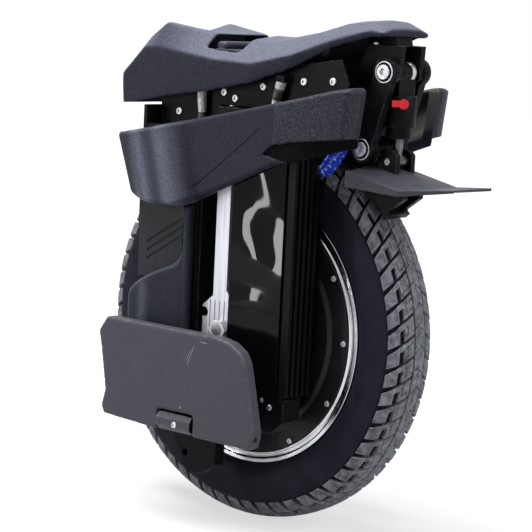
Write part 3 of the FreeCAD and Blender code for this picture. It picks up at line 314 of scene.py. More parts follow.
block_foot = tread_depth + block_root
tread_blocks = []
for low, high in pair_spans:
    bridge = (high - bridge_length, high, slot_inner - block_root, slot_outer + block_root)
    tread_blocks += [((low, high, slot_outer, tread_reach, shoulder_taper), 0.0, block_foot + block_root),
                     ((low, high, inner_row, slot_inner), slit_depth, block_foot),
                     (bridge, bridge_sink, block_foot)]
    slit_low = low + slit_rail + slit_gap
    slit_high = high - slit_rail - slit_gap
    for plate in ((low, low + slit_rail, inner_row, slot_inner),
                  (high - slit_rail, high, inner_row, slot_inner),
                  (slit_low, slit_high, slot_inner - slit_band, slot_inner),
                  (slit_low, slit_high, inner_row, slot_inner - slit_band - slit_width)):
        tread_blocks.append((plate, 0.0, slit_depth + plate_root))
for low, high in centre_spans:
    tread_blocks.append(((low, high, crown_gap, centre_row), 0.0, block_foot))
tread_form = bmesh.new()
for turn_number in range(pitch_count):
    for side, offset in ((1.0, 0.0), (-1.0, 0.5)):
        start = (turn_number + offset) * pitch
        for place, top, foot in tread_blocks:
            block_on_tyre(tread_form, tread_quad(start, side, *place), top, foot)


def speckle(tree, size, detail=3.0):
    """Noise whose specks have about the given size in metres, laid over the piece."""
    noise = tree.nodes.new("ShaderNodeTexNoise")
    noise.inputs["Scale"].default_value = 0.5 / size
    noise.inputs["Detail"].default_value = detail
    tree.links.new(on_piece(tree), noise.inputs["Vector"])
    return noise.outputs["Fac"]


def tint(tree, factor, dark, light, start=0.3, end=0.7):
    """Noise turned into a colour between two."""
    ramp = tree.nodes.new("ShaderNodeValToRGB")
    for element, place, tone in zip(ramp.color_ramp.elements, (start, end), (dark, light)):
        element.position = place
        element.color = (*tone, 1.0)
    tree.links.new(factor, ramp.inputs["Fac"])
    return ramp.outputs["Color"]


def lay_over(tree, surface, factor, over):
    """Lays a colour, plain or made by nodes, over the surface's present one as far as a factor says."""
    colour = surface.inputs["Base Color"]
    mix = tree.nodes.new("ShaderNodeMix")
    mix.data_type = "RGBA"
    tree.links.new(factor, mix.inputs["Factor"])
    tree.links.new(colour.links[0].from_socket, mix.inputs["A"])
    if isinstance(over, tuple):
        mix.inputs["B"].default_value = (*over, 1.0)
    else:
        tree.links.new(over, mix.inputs["B"])
    tree.links.new(mix.outputs["Result"], colour)


def emboss(tree, surface, height, depth):
    """Raises the surface by a height pattern of the given depth in metres."""
    bump = tree.nodes.new("ShaderNodeBump")
    bump.inputs["Distance"].default_value = depth
    bump.inputs["Strength"].default_value = 1.0
    tree.links.new(height, bump.inputs["Height"])
    tree.links.new(bump.outputs["Normal"], surface.inputs["Normal"])


def wear_and_highlight_edges(tree, surface, wear_and_highlight, reach):
    """Lays a paler colour, in patches, along the piece's edges: partly wear and partly painted highlight
    where edges catch the light.
    """
    softened = tree.nodes.new("ShaderNodeBevel")
    softened.samples = 4
    softened.inputs["Radius"].default_value = reach
    turn = tree.nodes.new("ShaderNodeVectorMath")
    turn.operation = "DOT_PRODUCT"
    tree.links.new(tree.nodes.new("ShaderNodeNewGeometry").outputs["Normal"], turn.inputs[0])
    tree.links.new(softened.outputs["Normal"], turn.inputs[1])
    edge = spread(tree, turn.outputs["Value"], 1.0, 0.0, 0.90, 0.995)
    patches = spread(tree, speckle(tree, 0.003, 5.0), 0.0, 1.0, 0.40, 0.62)
    lay_over(tree, surface, combine(tree, "MULTIPLY", edge, patches), wear_and_highlight)


def cloudy_finish(name, dark, light, cloud, rough, patch, grain=None, relief=0.0, shine=0.5, metal=0.0,
                  cloud_detail=3.0, grain_detail=3.0, wear_and_highlight=None, wear_and_highlight_reach=0.0):
    """A finish with clouds of two tones, patches of two roughnesses and a raised grain, sizes in metres."""
    finish, tree, surface = new_finish(name)
    surface.inputs["Metallic"].default_value = metal
    surface.inputs["Specular IOR Level"].default_value = shine
    tree.links.new(tint(tree, speckle(tree, cloud, cloud_detail), dark, light), surface.inputs["Base Color"])
    tree.links.new(spread(tree, speckle(tree, patch), *rough), surface.inputs["Roughness"])
    if wear_and_highlight:
        wear_and_highlight_edges(tree, surface, wear_and_highlight, wear_and_highlight_reach)
    if grain:
        emboss(tree, surface, speckle(tree, grain, grain_detail), relief)
    return finish


# The tread's edges are painted paler, partly as dusty wear and partly as painted highlight where they catch
# the light.
tread_rubber = cloudy_finish("tread_rubber", (0.085, 0.087, 0.104), (0.285, 0.292, 0.330), cloud=0.004,
                             rough=(0.62, 0.85), patch=0.006, grain=0.0007, relief=0.00025, grain_detail=5.0,
                             shine=0.18, wear_and_highlight=(0.50, 0.51, 0.55), wear_and_highlight_reach=0.0012)
sidewall_rubber = cloudy_finish("sidewall_rubber", (0.0105, 0.0112, 0.0190), (0.0185, 0.0195, 0.0310),
                                cloud=0.012, cloud_detail=5.0, rough=(0.40, 0.50), patch=0.006, grain=0.0007,
                                relief=0.00025, grain_detail=5.0, shine=0.05)
new_piece("tyre_tread", tread_form, "wheel", "tyre_rubber", tread_rubber)

carcass_line = []
for reach in skin_reach:
    under_tread = min(max((tread_reach + 0.002 - reach) / tread_fade, 0.0), 1.0)
    carcass_line.append(on_skin(reach, tread_depth * under_tread))
around = 180
carcass_form = bmesh.new()
for side in (1.0, -1.0):
    rings = []
    for k in range(around):
        angle = 2 * math.pi * k / around
        rings.append([carcass_form.verts.new(on_wheel(side * y, r, angle)) for y, r in carcass_line])
    for ring, following in zip(rings, rings[1:] + rings[:1]):
        for i in range(len(ring) - 1):
            face = [ring[i], ring[i + 1], following[i + 1], following[i]]
            carcass_form.faces.new(face[::-1] if side > 0 else face)
bmesh.ops.remove_doubles(carcass_form, verts=carcass_form.verts, dist=1e-6)
carcass = new_piece("tyre_carcass", carcass_form, "wheel", "tyre_rubber", sidewall_rubber)
for face in carcass.data.polygons:
    face.use_smooth = True
thick = carcass.modifiers.new("casing", "SOLIDIFY")
thick.thickness = casing
thick.offset = -1.0
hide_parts("tyre")


# Rim: an alloy ring, turned and polished bright on its flanges, with fine lathe lines round it.
# The tyre's beads sit between its flanges, and the motor's covers are screwed into its steps.
lathe_pitch = 0.0009


def pair(name):
    """Names of the left and right nodes of one name."""
    return [name + "_left", name + "_right"]


def dress(finish, *names, edge=0.0, segments=2):
    """Gives CAD nodes their finish and, where a radius is given, breaks their sharp edges by it."""
    for name in names:
        node = nodes[name]
        node.data.materials.clear()
        node.data.materials.append(finish)
        if not edge:
            continue
        weld = node.modifiers.new("weld", "WELD")
        weld.merge_threshold = 0.00002
        flat = node.modifiers.new("flat", "DECIMATE")
        flat.decimate_type = "DISSOLVE"
        flat.angle_limit = math.radians(0.6)
        ease = node.modifiers.new("ease", "BEVEL")
        ease.width = edge
        ease.segments = segments
        ease.limit_method = "ANGLE"
        ease.angle_limit = math.radians(24.0)
        ease.harden_normals = True


def parts_of(finish):
    """Node tree and surface shader of a finish."""
    return finish.node_tree, finish.node_tree.nodes["Principled BSDF"]


polished = cloudy_finish("polished_rim", (0.40, 0.41, 0.43), (0.58, 0.59, 0.61), cloud=0.02,
                         rough=(0.07, 0.2), patch=0.004, metal=1.0)
tree, surface = parts_of(polished)
shift = tree.nodes.new("ShaderNodeMapping")
shift.inputs["Location"].default_value = (0.0, 0.0, -axle_height)
tree.links.new(on_piece(tree), shift.inputs["Vector"])
lathe_lines = tree.nodes.new("ShaderNodeTexWave")
lathe_lines.wave_type = "RINGS"
lathe_lines.rings_direction = "Y"
lathe_lines.inputs["Scale"].default_value = 0.314 / lathe_pitch
lathe_lines.inputs["Distortion"].default_value = 1.5
tree.links.new(shift.outputs["Vector"], lathe_lines.inputs["Vector"])
emboss(tree, surface, lathe_lines.outputs["Fac"], 0.00003)
dress(polished, "rim", edge=0.0008)


# Motor covers: two dished aluminium plates, coated satin black, that close the hub motor on each side.
# Each is held to the rim by twelve small bright socket screws on one circle.
screw_count = 12
screw_circle = 0.157
screw_radius = 0.0036
screw_height = 0.0026
cover_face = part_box("rim")[1][1] + 0.002
satin_black = cloudy_finish("satin_black_coat", (0.007, 0.007, 0.009), (0.012, 0.012, 0.015), cloud=0.03,
                            rough=(0.3, 0.42), patch=0.01, grain=0.0005, relief=0.00008, grain_detail=4.0,
                            shine=0.18)
dress(satin_black, *pair("motor_cover"), edge=0.0008)


def plain(points):
    """A loop of points in a piece's first finish, none of them with painted highlight."""
    return [(Vector(point), 0, 0.0) for point in points]


def skin_over(form, loops, smooth=True):
    """Closes a row of loops into one skin, capped at its ends; each point has a finish and a
    painted-highlight weight.
    """
    wear_and_highlight = form.verts.layers.float.get("painted_highlight") or form.verts.layers.float.new("painted_highlight")
    made = []
    for loop in loops:
        made.append([form.verts.new(spot) for spot, finish, painted_highlight in loop])
        for vertex, (spot, finish, painted_highlight) in zip(made[-1], loop):
            vertex[wear_and_highlight] = painted_highlight
    for here, there, loop in zip(made, made[1:], loops):
        for i in range(len(here)):
            n = (i + 1) % len(here)
            face = form.faces.new([here[i], there[i], there[n], here[n]])
            face.material_index = loop[i][1]
            face.smooth = smooth
    form.faces.new(made[0])
    form.faces.new(made[-1][::-1])
    bmesh.ops.recalc_face_normals(form, faces=form.faces)


def spoke(axis, angle):
    """Direction square to a line, turned about it."""
    side = axis.orthogonal().normalized()
    return side * math.cos(angle) + axis.cross(side) * math.sin(angle)


def socket_screw(form, place, outward, radius, height):
    """One socket-head screw: a chamfered round head with a six-sided recess, its base in what carries it."""
    outward = Vector(outward).normalized()
    chamfer = radius * 0.16
    loops = []
    for reach, rise, six_sided in ((radius, -0.0006, False), (radius, height - chamfer, False),
                                   (radius - chamfer, height, False), (radius * 0.54, height, True),
                                   (radius * 0.50, height * 0.4, True)):
        loop = []
        for k in range(24):
            angle = 2 * math.pi * k / 24
            flat = 0.866 / math.cos(angle % (math.pi / 3) - math.pi / 6) if six_sided else 1.0
            loop.append(Vector(place) + spoke(outward, angle) * reach * flat + outward * rise)
        loops.append(plain(loop))
    skin_over(form, loops, smooth=False)


def both_sides(name, form, body, slot_name, *finishes):
    """A left-hand piece and its right-hand twin, turned over across the machine's middle plane."""
    left = new_piece(name + "_left", form, body, slot_name, *finishes)
    mesh = left.data.copy()
    mesh.transform(Matrix.Diagonal((1.0, -1.0, 1.0, 1.0)))
    mesh.flip_normals()
    return left, place_piece(name + "_right", mesh, body)


bright_screw = cloudy_finish("bright_screw", (0.36, 0.36, 0.38), (0.54, 0.54, 0.56), cloud=0.002,
                             rough=(0.40, 0.54), patch=0.0015, grain=0.0004, relief=0.00003, metal=1.0)
screw_form = bmesh.new()
for k in range(screw_count):
    spot = on_wheel(cover_face, screw_circle, 2 * math.pi * k / screw_count)
    socket_screw(screw_form, spot, (0, 1, 0), screw_radius, screw_height)
both_sides("motor_screws", screw_form, "wheel", "bright_steel", bright_screw)


# Axle: a steel shaft that stands still while the wheel turns on two ball bearings.
# The wound core and the ring of magnets are inside the hub, and a nut holds each end in its fork leg.
plain_steel = cloudy_finish("plain_steel", (0.34, 0.34, 0.35), (0.50, 0.50, 0.51), cloud=0.006,
                            rough=(0.24, 0.42), patch=0.002, grain=0.0006, relief=0.00004, metal=1.0)
dress(plain_steel, "axle", "wheel_bearings", "magnet_ring")
core_varnish = cloudy_finish("core_varnish", (0.16, 0.07, 0.03), (0.30, 0.15, 0.06), cloud=0.003,
                             rough=(0.35, 0.6), patch=0.003, grain=0.001, relief=0.0002)
dress(core_varnish, "stator")


# Fork legs: two bars milled from bare aluminium plate, wider round the axle, with the marks of the mill
# left along them. They hang from the bridge and run in the body's side channels as the suspension moves,
# and a bare hexagon nut holds the axle in each.
def long_grain(tree, width, length):
    """Noise drawn out up and down the piece, like the marks of a brush or a mill."""
    stretch = tree.nodes.new("ShaderNodeMapping")
    stretch.inputs["Scale"].default_value = (0.5 / width, 0.5 / width, 0.5 / length)
    tree.links.new(on_piece(tree), stretch.inputs["Vector"])
    noise = tree.nodes.new("ShaderNodeTexNoise")
    noise.inputs["Scale"].default_value = 1.0
    noise.inputs["Detail"].default_value = 4.0
    tree.links.new(stretch.outputs["Vector"], noise.inputs["Vector"])
    return noise.outputs["Fac"]


milled, tree, surface = new_finish("milled_aluminium")
surface.inputs["Metallic"].default_value = 1.0
tree.links.new(tint(tree, long_grain(tree, 0.0012, 0.06), (0.52, 0.53, 0.57), (0.66, 0.67, 0.70)),
               surface.inputs["Base Color"])
tree.links.new(spread(tree, long_grain(tree, 0.0008, 0.03), 0.56, 0.70), surface.inputs["Roughness"])
emboss(tree, surface, long_grain(tree, 0.0006, 0.05), 0.00006)
dress(milled, *pair("fork_leg"), "axle_nuts", edge=0.0006)


# Bridge, stay, rails, deck and cage: the dark metal of fork and chassis, milled or pressed aluminium, bead
# blasted and anodised black. Edges are painted a little lighter, partly as rubbing by hands and tools and
# partly as painted highlight where they catch the light, and bright socket screws hold it together along the
# deck's wall and at the foot of the lower frame.
anodised = cloudy_finish("black_anodised", (0.0040, 0.0040, 0.0052), (0.0070, 0.0070, 0.0088), cloud=0.004,
                         rough=(0.36, 0.46), patch=0.008, grain=0.0004, relief=0.00005, grain_detail=4.0,
                         shine=0.05, wear_and_highlight=(0.11, 0.11, 0.12), wear_and_highlight_reach=0.0014)
dress(anodised, "fork_bridge", "fork_stay", "shock_can", "cage_spacer", "tail_plates", "deck",
      "front_bulkhead", "trolley_guides", *pair("cage_arm"), *pair("slide_rail"), *pair("lower_frame"),
      *pair("pedal_hanger"), edge=0.0009)

deck_side = 0.066
deck_screw_radius, deck_screw_height = 0.0048, 0.0024
frame_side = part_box("lower_frame_left")[1][1]
frame_screw_height = 0.0022
deck_screws = [(0.1066, 0.5178), (0.0107, 0.5405), (0.0300, 0.5470), (-0.0350, 0.5581), (-0.1002, 0.5682),
               (-0.1458, 0.5709)]
frame_screws = [(-0.0796, 0.1738, 0.0028), (-0.0927, 0.1664, 0.0036)]
screw_form = bmesh.new()
for x, z in deck_screws:
    socket_screw(screw_form, (x, deck_side, z), (0, 1, 0), deck_screw_radius, deck_screw_height)
for x, z, radius in frame_screws:
    socket_screw(screw_form, (x, frame_side, z), (0, 1, 0), radius, frame_screw_height)
both_sides("deck_screws", screw_form, "chassis", "bright_steel", bright_screw)


# Mudguard: one sheet of grey moulded plastic, folded down along its sides and up at its lip, with its middle
# pressed up into a low crown round the shock's foot. It is screwed to the stay's ears, so it keeps its
# distance from the tyre as the body moves.
guard_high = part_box("mudguard")[1]
guard_fall = 0.017
fold_reach = 0.080
crown_rise = 0.010
crown_length = 0.087
crown_half = guard_high[1] - 0.0015
crown_root = 0.001
rows_along = 32
rows_across = 48
# Its edges are painted paler, partly as wear and partly as painted highlight where they catch the light.
guard_grey = cloudy_finish("guard_grey", (0.040, 0.042, 0.053), (0.050, 0.052, 0.065), cloud=0.004,
                           rough=(0.5, 0.62), patch=0.01, grain=0.0006, relief=0.0001, grain_detail=4.0,
                           shine=0.2, wear_and_highlight=(0.11, 0.11, 0.12), wear_and_highlight_reach=0.0010)
dress(guard_grey, "mudguard", edge=0.0007)
crown_loops = []
for k in range(rows_along + 1):
    share = k / rows_along
    x = guard_high[0] - crown_root - crown_length * share
    sheet = guard_high[2] - guard_fall * min((guard_high[0] - x) / fold_reach, 1.0)
    rise = crown_rise * math.sin(math.pi * (0.25 + 0.75 * share))
    loop = []
    for i in range(rows_across + 1):
        y = crown_half * (1 - 2 * i / rows_across)
        loop.append((x, y, sheet + rise * math.cos(math.pi / 2 * y / crown_half) ** 2))
    loop += [(x, y, sheet - crown_root) for y in (-crown_half, crown_half)]
    crown_loops.append(plain(loop))
crown_form = bmesh.new()
skin_over(crown_form, crown_loops)
new_piece("guard_crown", crown_form, "fork", "guard_grey", guard_grey)


# Shock: an air can with a damper shaft, hung between the cage arms. A turned steel collar holds its upper
# eye, and a small cast lever, anodised red, opens and closes its valve.
arm_low, arm_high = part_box("cage_arm_left")
arm_end = 0.017
arm_face = arm_high[1]
upper_pivot = Vector((arm_low[0] + arm_end, 0.0, arm_high[2] - arm_end))
lower_pivot = Vector((arm_high[0] - arm_end, 0.0, arm_low[2] + arm_end))
eye_radius = 0.011
collar_wall = 0.0012
collar_rear, collar_front = -0.0125, -0.0060


def turned(form, place, axis, profile, count=48):
    """A ring turned about a line: profile is a closed outline of (radius, distance along the line)."""
    axis = Vector(axis).normalized()
    rings = []
    for k in range(count):
        out = spoke(axis, 2 * math.pi * k / count)
        rings.append([form.verts.new(Vector(place) + out * r + axis * d) for r, d in profile])
    for here, there in zip(rings, rings[1:] + rings[:1]):
        for i in range(len(profile)):
            n = (i + 1) % len(profile)
            form.faces.new([here[i], here[n], there[n], there[i]])
    bmesh.ops.recalc_face_normals(form, faces=form.faces)


def band(inner, outer, start, end, broken=0.0004):
    """Outline of a flat ring with its outer edges broken."""
    return [(inner, start), (outer - broken, start), (outer, start + broken), (outer, end - broken),
            (outer - broken, end), (inner, end)]


red_anodised = cloudy_finish("red_anodised", (0.50, 0.006, 0.016), (0.72, 0.015, 0.030), cloud=0.003,
                             rough=(0.32, 0.46), patch=0.002, grain=0.0005, relief=0.00004, metal=0.3)
dress(red_anodised, "shock_lever", edge=0.0009, segments=3)
dark_steel = cloudy_finish("dark_steel", (0.07, 0.07, 0.08), (0.12, 0.12, 0.13), cloud=0.004,
                           rough=(0.22, 0.36), patch=0.002, grain=0.0006, relief=0.00003, metal=1.0)
dress(dark_steel, "shock_shaft", "shock_pin")
collar_form = bmesh.new()
turned(collar_form, upper_pivot, (0, 1, 0),
       band(eye_radius - 0.0005, eye_radius + collar_wall, collar_rear, collar_front))
new_piece("shock_collar", collar_form, "chassis", "bright_steel", bright_screw)


# Cage bolts: bright socket bolts through the ends of the cage arms. Each sits in a black recess whose edge
# was turned after anodising, so a thin bright ring of bare metal shows round it. Two small screws and a
# folded black saddle between them finish the tail plates.
dress(bright_screw, "cage_bolts", edge=0.0006)
sink_radius = 0.0122
ring_form = bmesh.new()
for pivot in (upper_pivot, lower_pivot):
    turned(ring_form, pivot + Vector((0, arm_face, 0)), (0, 1, 0),
           band(sink_radius - 0.0004, sink_radius + 0.0010, -0.0010, 0.0004, 0.0003), 64)
both_sides("pivot_rings", ring_form, "chassis", "bright_steel", bright_screw)

plate_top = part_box("tail_plates")[1][2]
plate_side = 0.0200
tail_screw_radius, tail_screw_height = 0.0034, 0.0026
tail_form = bmesh.new()
for x, y in ((-0.1712, plate_side), (-0.1830, -plate_side)):
    socket_screw(tail_form, (x, y, plate_top), (0, 0, 1), tail_screw_radius, tail_screw_height)
new_piece("tail_screws", tail_form, "chassis", "bright_steel", bright_screw)

saddle_half = 0.0155
saddle_edge = 0.0012
saddle_root = -0.001
saddle_line = [(-0.2015, saddle_root), (-0.1975, 0.0135), (-0.1600, 0.0180), (-0.1520, saddle_root)]
saddle_middle = (saddle_line[0][0] + saddle_line[-1][0]) / 2
saddle_loops = []
for y, inset in ((-saddle_half, saddle_edge), (saddle_edge - saddle_half, 0.0),
                 (saddle_half - saddle_edge, 0.0), (saddle_half, saddle_edge)):
    saddle_loops.append(plain((x + math.copysign(inset, saddle_middle - x), y,
                               plate_top + max(rise - inset, saddle_root)) for x, rise in saddle_line))
saddle_form = bmesh.new()
skin_over(saddle_form, saddle_loops, smooth=False)
new_piece("tail_saddle", saddle_form, "chassis", "black_anodised", anodised)


# Battery and front boxes: closed housings of fine matt black plastic, ribbed on their rear walls, with a
# bead moulded along each front box's front edge. They carry the side panels, the controller lies between
# them on the deck, and the lamp's case and the power button are of the same plastic.
matt_black = cloudy_finish("matt_black_housing", (0.0052, 0.0052, 0.0064), (0.0080, 0.0080, 0.0096),
                           cloud=0.006, rough=(0.38, 0.5), patch=0.005, grain=0.0006, relief=0.0001,
                           grain_detail=4.0, shine=0.05)
dress(matt_black, *pair("battery_box"), *pair("front_box"), "controller", "headlamp_body", "power_button",
      edge=0.001)

panel_low, panel_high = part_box("grooved_panel_left")
bead_reach = 0.0068
bead_edge = 0.0012
bead_rear = panel_high[0] - 0.003
bead_out = panel_low[1] - 0.0005
bead_in = bead_out - 0.008
bead_loops = []
for z, inset in ((panel_low[2], bead_edge), (panel_low[2] + bead_edge, 0.0),
                 (panel_high[2] - bead_edge, 0.0), (panel_high[2], bead_edge)):
    front = panel_high[0] + bead_reach - inset
    side = bead_out - inset
    bead_loops.append(plain([(bead_rear, bead_in, z), (front, bead_in, z), (front, side - bead_edge, z),
                             (front - bead_edge, side, z), (bead_rear, side, z)]))
bead_form = bmesh.new()
skin_over(bead_form, bead_loops, smooth=False)
both_sides("box_bead", bead_form, "chassis", "box_black", matt_black)


# Gloss panels: polished black acrylic skins over the battery boxes, a little wavy from moulding,
# so what they reflect bends along them. They are clipped to the boxes.
piano_black = cloudy_finish("piano_black", (0.0020, 0.0020, 0.0028), (0.0040, 0.0040, 0.0050), cloud=0.05,
                            rough=(0.012, 0.035), patch=0.02, grain=0.055, relief=0.0044, grain_detail=1.0,
                            shine=0.08)
dress(piano_black, *pair("gloss_panel"), edge=0.0012, segments=3)


# Grooved panels: grey moulded skins over the front boxes, with three slanting grooves in each.
# The leg pads overlap their upper edge and the instep pads their lower part.
panel_grey = cloudy_finish("panel_grey", (0.020, 0.021, 0.025), (0.027, 0.028, 0.033), cloud=0.004,
                           rough=(0.48, 0.6), patch=0.006, grain=0.0008, relief=0.00012, grain_detail=4.0,
                           shine=0.14)
dress(panel_grey, *pair("grooved_panel"), edge=0.0008)


# Pedals: cast magnesium plates with a grey powder coat, folded up beside the wheel on their hinge pins. The
# coat is painted lighter round the rim, partly as wear and partly as painted highlight where the edges catch
# the light, with fine scratches where shoes have scraped it. A cast shell with one bright bolt covers each
# hinge.
scrape_tone = (0.30, 0.30, 0.32)
scrapes = [((-0.0102, 0.2371), (0.0012, 0.2095), 0.0006), ((-0.0056, 0.2316), (0.0038, 0.2144), 0.0005),
           ((-0.0190, 0.2430), (-0.0330, 0.2420), 0.0009), ((0.0112, 0.1545), (0.0080, 0.1562), 0.0016)]
pin_side, pin_height = 0.136, 0.134
knuckle_rear, knuckle_front = -0.0094, 0.0474
knuckle_radius = 0.0108
shell_line = [(0.0050, -0.0120), (0.0122, -0.0050), (0.0122, 0.0050), (0.0060, 0.0115)]
for degrees in (62, 30, 0, -30, -67):
    angle = math.radians(degrees)
    shell_line.append((knuckle_radius * math.cos(angle), knuckle_radius * math.sin(angle)))
bolt_spot = (0.0155, pin_side + shell_line[1][0], pin_height - 0.0015)
bolt_radius, bolt_height = 0.0040, 0.0014


def soften(name, fineness, passes):
    """Rounds a moulded or cast CAD node all over, as if its edges had been filleted by hand."""
    refined = nodes[name].modifiers.new("refined", "REMESH")
    refined.mode = "VOXEL"
    refined.voxel_size = fineness
    refined.use_smooth_shade = True
    rounded = nodes[name].modifiers.new("rounded", "SMOOTH")
    rounded.factor = 0.5
    rounded.iterations = passes


def drawn_line(tree, start, end, width):
    """A value that is 1 on a straight line across a side of the machine and 0 beside it."""
    run = Vector((end[0] - start[0], 0.0, end[1] - start[1]))
    fade = min(0.004, run.length / 4)
    turn = tree.nodes.new("ShaderNodeMapping")
    turn.vector_type = "TEXTURE"
    turn.inputs["Location"].default_value = (start[0], 0.0, start[1])
    turn.inputs["Rotation"].default_value = (0.0, -math.atan2(run.z, run.x), 0.0)
    tree.links.new(on_piece(tree), turn.inputs["Vector"])
    split = tree.nodes.new("ShaderNodeSeparateXYZ")
    tree.links.new(turn.outputs["Vector"], split.inputs["Vector"])
    off = tree.nodes.new("ShaderNodeMath")
    off.operation = "ABSOLUTE"
    tree.links.new(split.outputs["Z"], off.inputs[0])
    drawn = spread(tree, off.outputs["Value"], 1.0, 0.0, width * 0.3, width)
    started = spread(tree, split.outputs["X"], 0.0, 1.0, 0.0, fade)
    ended = spread(tree, split.outputs["X"], 1.0, 0.0, run.length - fade, run.length)
    return combine(tree, "MULTIPLY", combine(tree, "MULTIPLY", drawn, started), ended)


powder_grey = cloudy_finish("pedal_powder_grey", (0.052, 0.054, 0.068), (0.060, 0.062, 0.078), cloud=0.004,
                            rough=(0.44, 0.56), patch=0.012, grain=0.0009, relief=0.00012, grain_detail=4.0,
                            shine=0.2, wear_and_highlight=(0.19, 0.19, 0.21), wear_and_highlight_reach=0.0045)
tree, surface = parts_of(powder_grey)
for start, end, width in scrapes:
    lay_over(tree, surface, drawn_line(tree, start, end, width), scrape_tone)
dress(powder_grey, *pair("pedal"))
dress(plain_steel, "hinge_pins")
for name in pair("pedal"):
    soften(name, 0.0018, 12)

shell_form = bmesh.new()
skin_over(shell_form, [plain((x, pin_side + out, pin_height + up) for out, up in shell_line)
                       for x in (knuckle_rear, knuckle_front)], smooth=False)
for shell in both_sides("hinge_shell", shell_form, "chassis", "pedal_grey", powder_grey):
    rounded = shell.modifiers.new("rounded", "BEVEL")
    rounded.width = 0.0008
    rounded.segments = 2
hinge_form = bmesh.new()
socket_screw(hinge_form, bolt_spot, (0, 1, 0), bolt_radius, bolt_height)
both_sides("hinge_bolt", hinge_form, "chassis", "bright_steel", bright_screw)


# Top cover: a faceted shell moulded in charcoal plastic with a fine leather-like grain, painted paler where
# it faces up as a painted highlight of the overhead light. It is screwed to bosses on the deck and has a
# slot for the pull-up handle.
cover_grain = 0.0011
top_light_start, top_light_end = 0.20, 0.75
charcoal = cloudy_finish("charcoal_grain", (0.012, 0.013, 0.021), (0.029, 0.031, 0.046), cloud=cover_grain,
                         cloud_detail=4.0, rough=(0.46, 0.60), patch=cover_grain * 3, grain=cover_grain,
                         relief=0.0004, shine=0.09)
tree, surface = parts_of(charcoal)
# Faces that look upward are painted paler: a painted highlight of the overhead light, not a real bleaching.
split = tree.nodes.new("ShaderNodeSeparateXYZ")
tree.links.new(tree.nodes.new("ShaderNodeNewGeometry").outputs["Normal"], split.inputs["Vector"])
facing_up = spread(tree, split.outputs["Z"], 0.0, 1.0, top_light_start, top_light_end)
painted_top_light = tint(tree, speckle(tree, cover_grain, 4.0), (0.058, 0.063, 0.088), (0.112, 0.121, 0.162))
lay_over(tree, surface, facing_up, painted_top_light)
dress(charcoal, "top_cover")
soften("top_cover", 0.0018, 26)


# Handle: a satin black cross grip on two steel tubes, drawn up out of the cover to wheel the machine along.
# The tubes slide in plain guides pressed into the deck, and a rounded lip for the fingers is moulded along
# the grip's front.
grip_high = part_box("trolley_grip")[1]
lip_rise = 0.0105
lip_depth = 0.017
lip_half = grip_high[1] - 0.004
lip_round = 0.006
lip_square = 0.45
lip_steps = 48
lip_around = 24
lip_centre = Vector((grip_high[0] - lip_depth / 2 - 0.001, 0.0, grip_high[2] - 0.001))
grip_black = cloudy_finish("grip_satin_black", (0.022, 0.024, 0.034), (0.034, 0.036, 0.048), cloud=0.004,
                           rough=(0.32, 0.46), patch=0.004, grain=0.0008, relief=0.00008, shine=0.2)
dress(grip_black, "trolley_grip", edge=0.0014, segments=3)
dress(plain_steel, "trolley_tubes")


def dome(t):
    """Quarter round from 0 to 1."""
    t = min(max(t, 0.0), 1.0)
    return math.sqrt(1 - (1 - t) ** 2)


lip_loops = []
for k in range(lip_steps + 1):
    y = lip_half * math.sin(math.pi * (k / lip_steps - 0.5))
    full = 0.55 + 0.45 * dome((lip_half - abs(y)) / lip_round)
    loop = []
    for i in range(lip_around):
        angle = math.radians(360.0 / lip_around * i)
        across, up = math.cos(angle), math.sin(angle)
        across = math.copysign(abs(across) ** lip_square, across) * lip_depth / 2 * full
        up = up ** lip_square * lip_rise * full if up > 0 else 0.0
        loop.append(lip_centre + Vector((across, y, up)))
    lip_loops.append(plain(loop))
lip_form = bmesh.new()
skin_over(lip_form, lip_loops)
new_piece("grip_lip", lip_form, "trolley", "grip_black", grip_black)


# Headlamp lens: a clear moulded window over the lamp at the front.
# It is pressed into the lamp's case, which is screwed to the bulkhead.
clear_lens, tree, surface = new_finish("clear_lens")
surface.inputs["Base Color"].default_value = (0.95, 0.97, 1.0, 1.0)
surface.inputs["Transmission Weight"].default_value = 1.0
surface.inputs["IOR"].default_value = 1.49
tree.links.new(spread(tree, speckle(tree, 0.01), 0.02, 0.06), surface.inputs["Roughness"])
emboss(tree, surface, speckle(tree, 0.004), 0.0001)
dress(clear_lens, "headlamp_lens", edge=0.0012)


# Leg pads: long foam pads under a tough grained skin, moulded with two slanting ridges at the front, a seam
# across the flank and a raised pebbled block at the rear. The skin is painted paler along the ridges as
# painted highlight, and the hollow strip under the block is painted near black as painted shade. They are
# fixed to the side panels, and the raw backing shows where each pad turns in behind its battery box.
pad_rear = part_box("leg_pad_left")[0][0] + 0.004
pad_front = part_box("leg_pad_left")[1][0] + 0.006
pad_length = pad_front - pad_rear
pad_top = [(-0.206, 0.5575), (-0.197, 0.5670), (-0.120, 0.5495), (-0.066, 0.5372), (0.022, 0.5180),
           (0.126, 0.4962), (0.175, 0.4865)]
pad_foot = [(-0.206, 0.4985), (-0.112, 0.4715), (-0.088, 0.4655), (-0.021, 0.4360), (0.054, 0.4055),
            (0.095, 0.4005), (0.130, 0.4035), (0.149, 0.4105)]
pad_face = [(-0.206, 0.0890), (-0.196, 0.0975), (-0.122, 0.1040), (-0.060, 0.1060), (0.000, 0.1072),
            (0.046, 0.1088), (0.058, 0.1112), (0.069, 0.1172), (0.080, 0.1195), (0.094, 0.1188),
            (0.111, 0.1155), (0.124, 0.1165), (0.138, 0.1182), (0.152, 0.1160), (0.166, 0.1125),
            (0.178, 0.1090)]
pad_back = [(-0.206, 0.0710), (-0.122, 0.0965), (0.140, 0.0970), (0.175, 0.0985)]
pad_edge = 0.006
end_round = 0.007
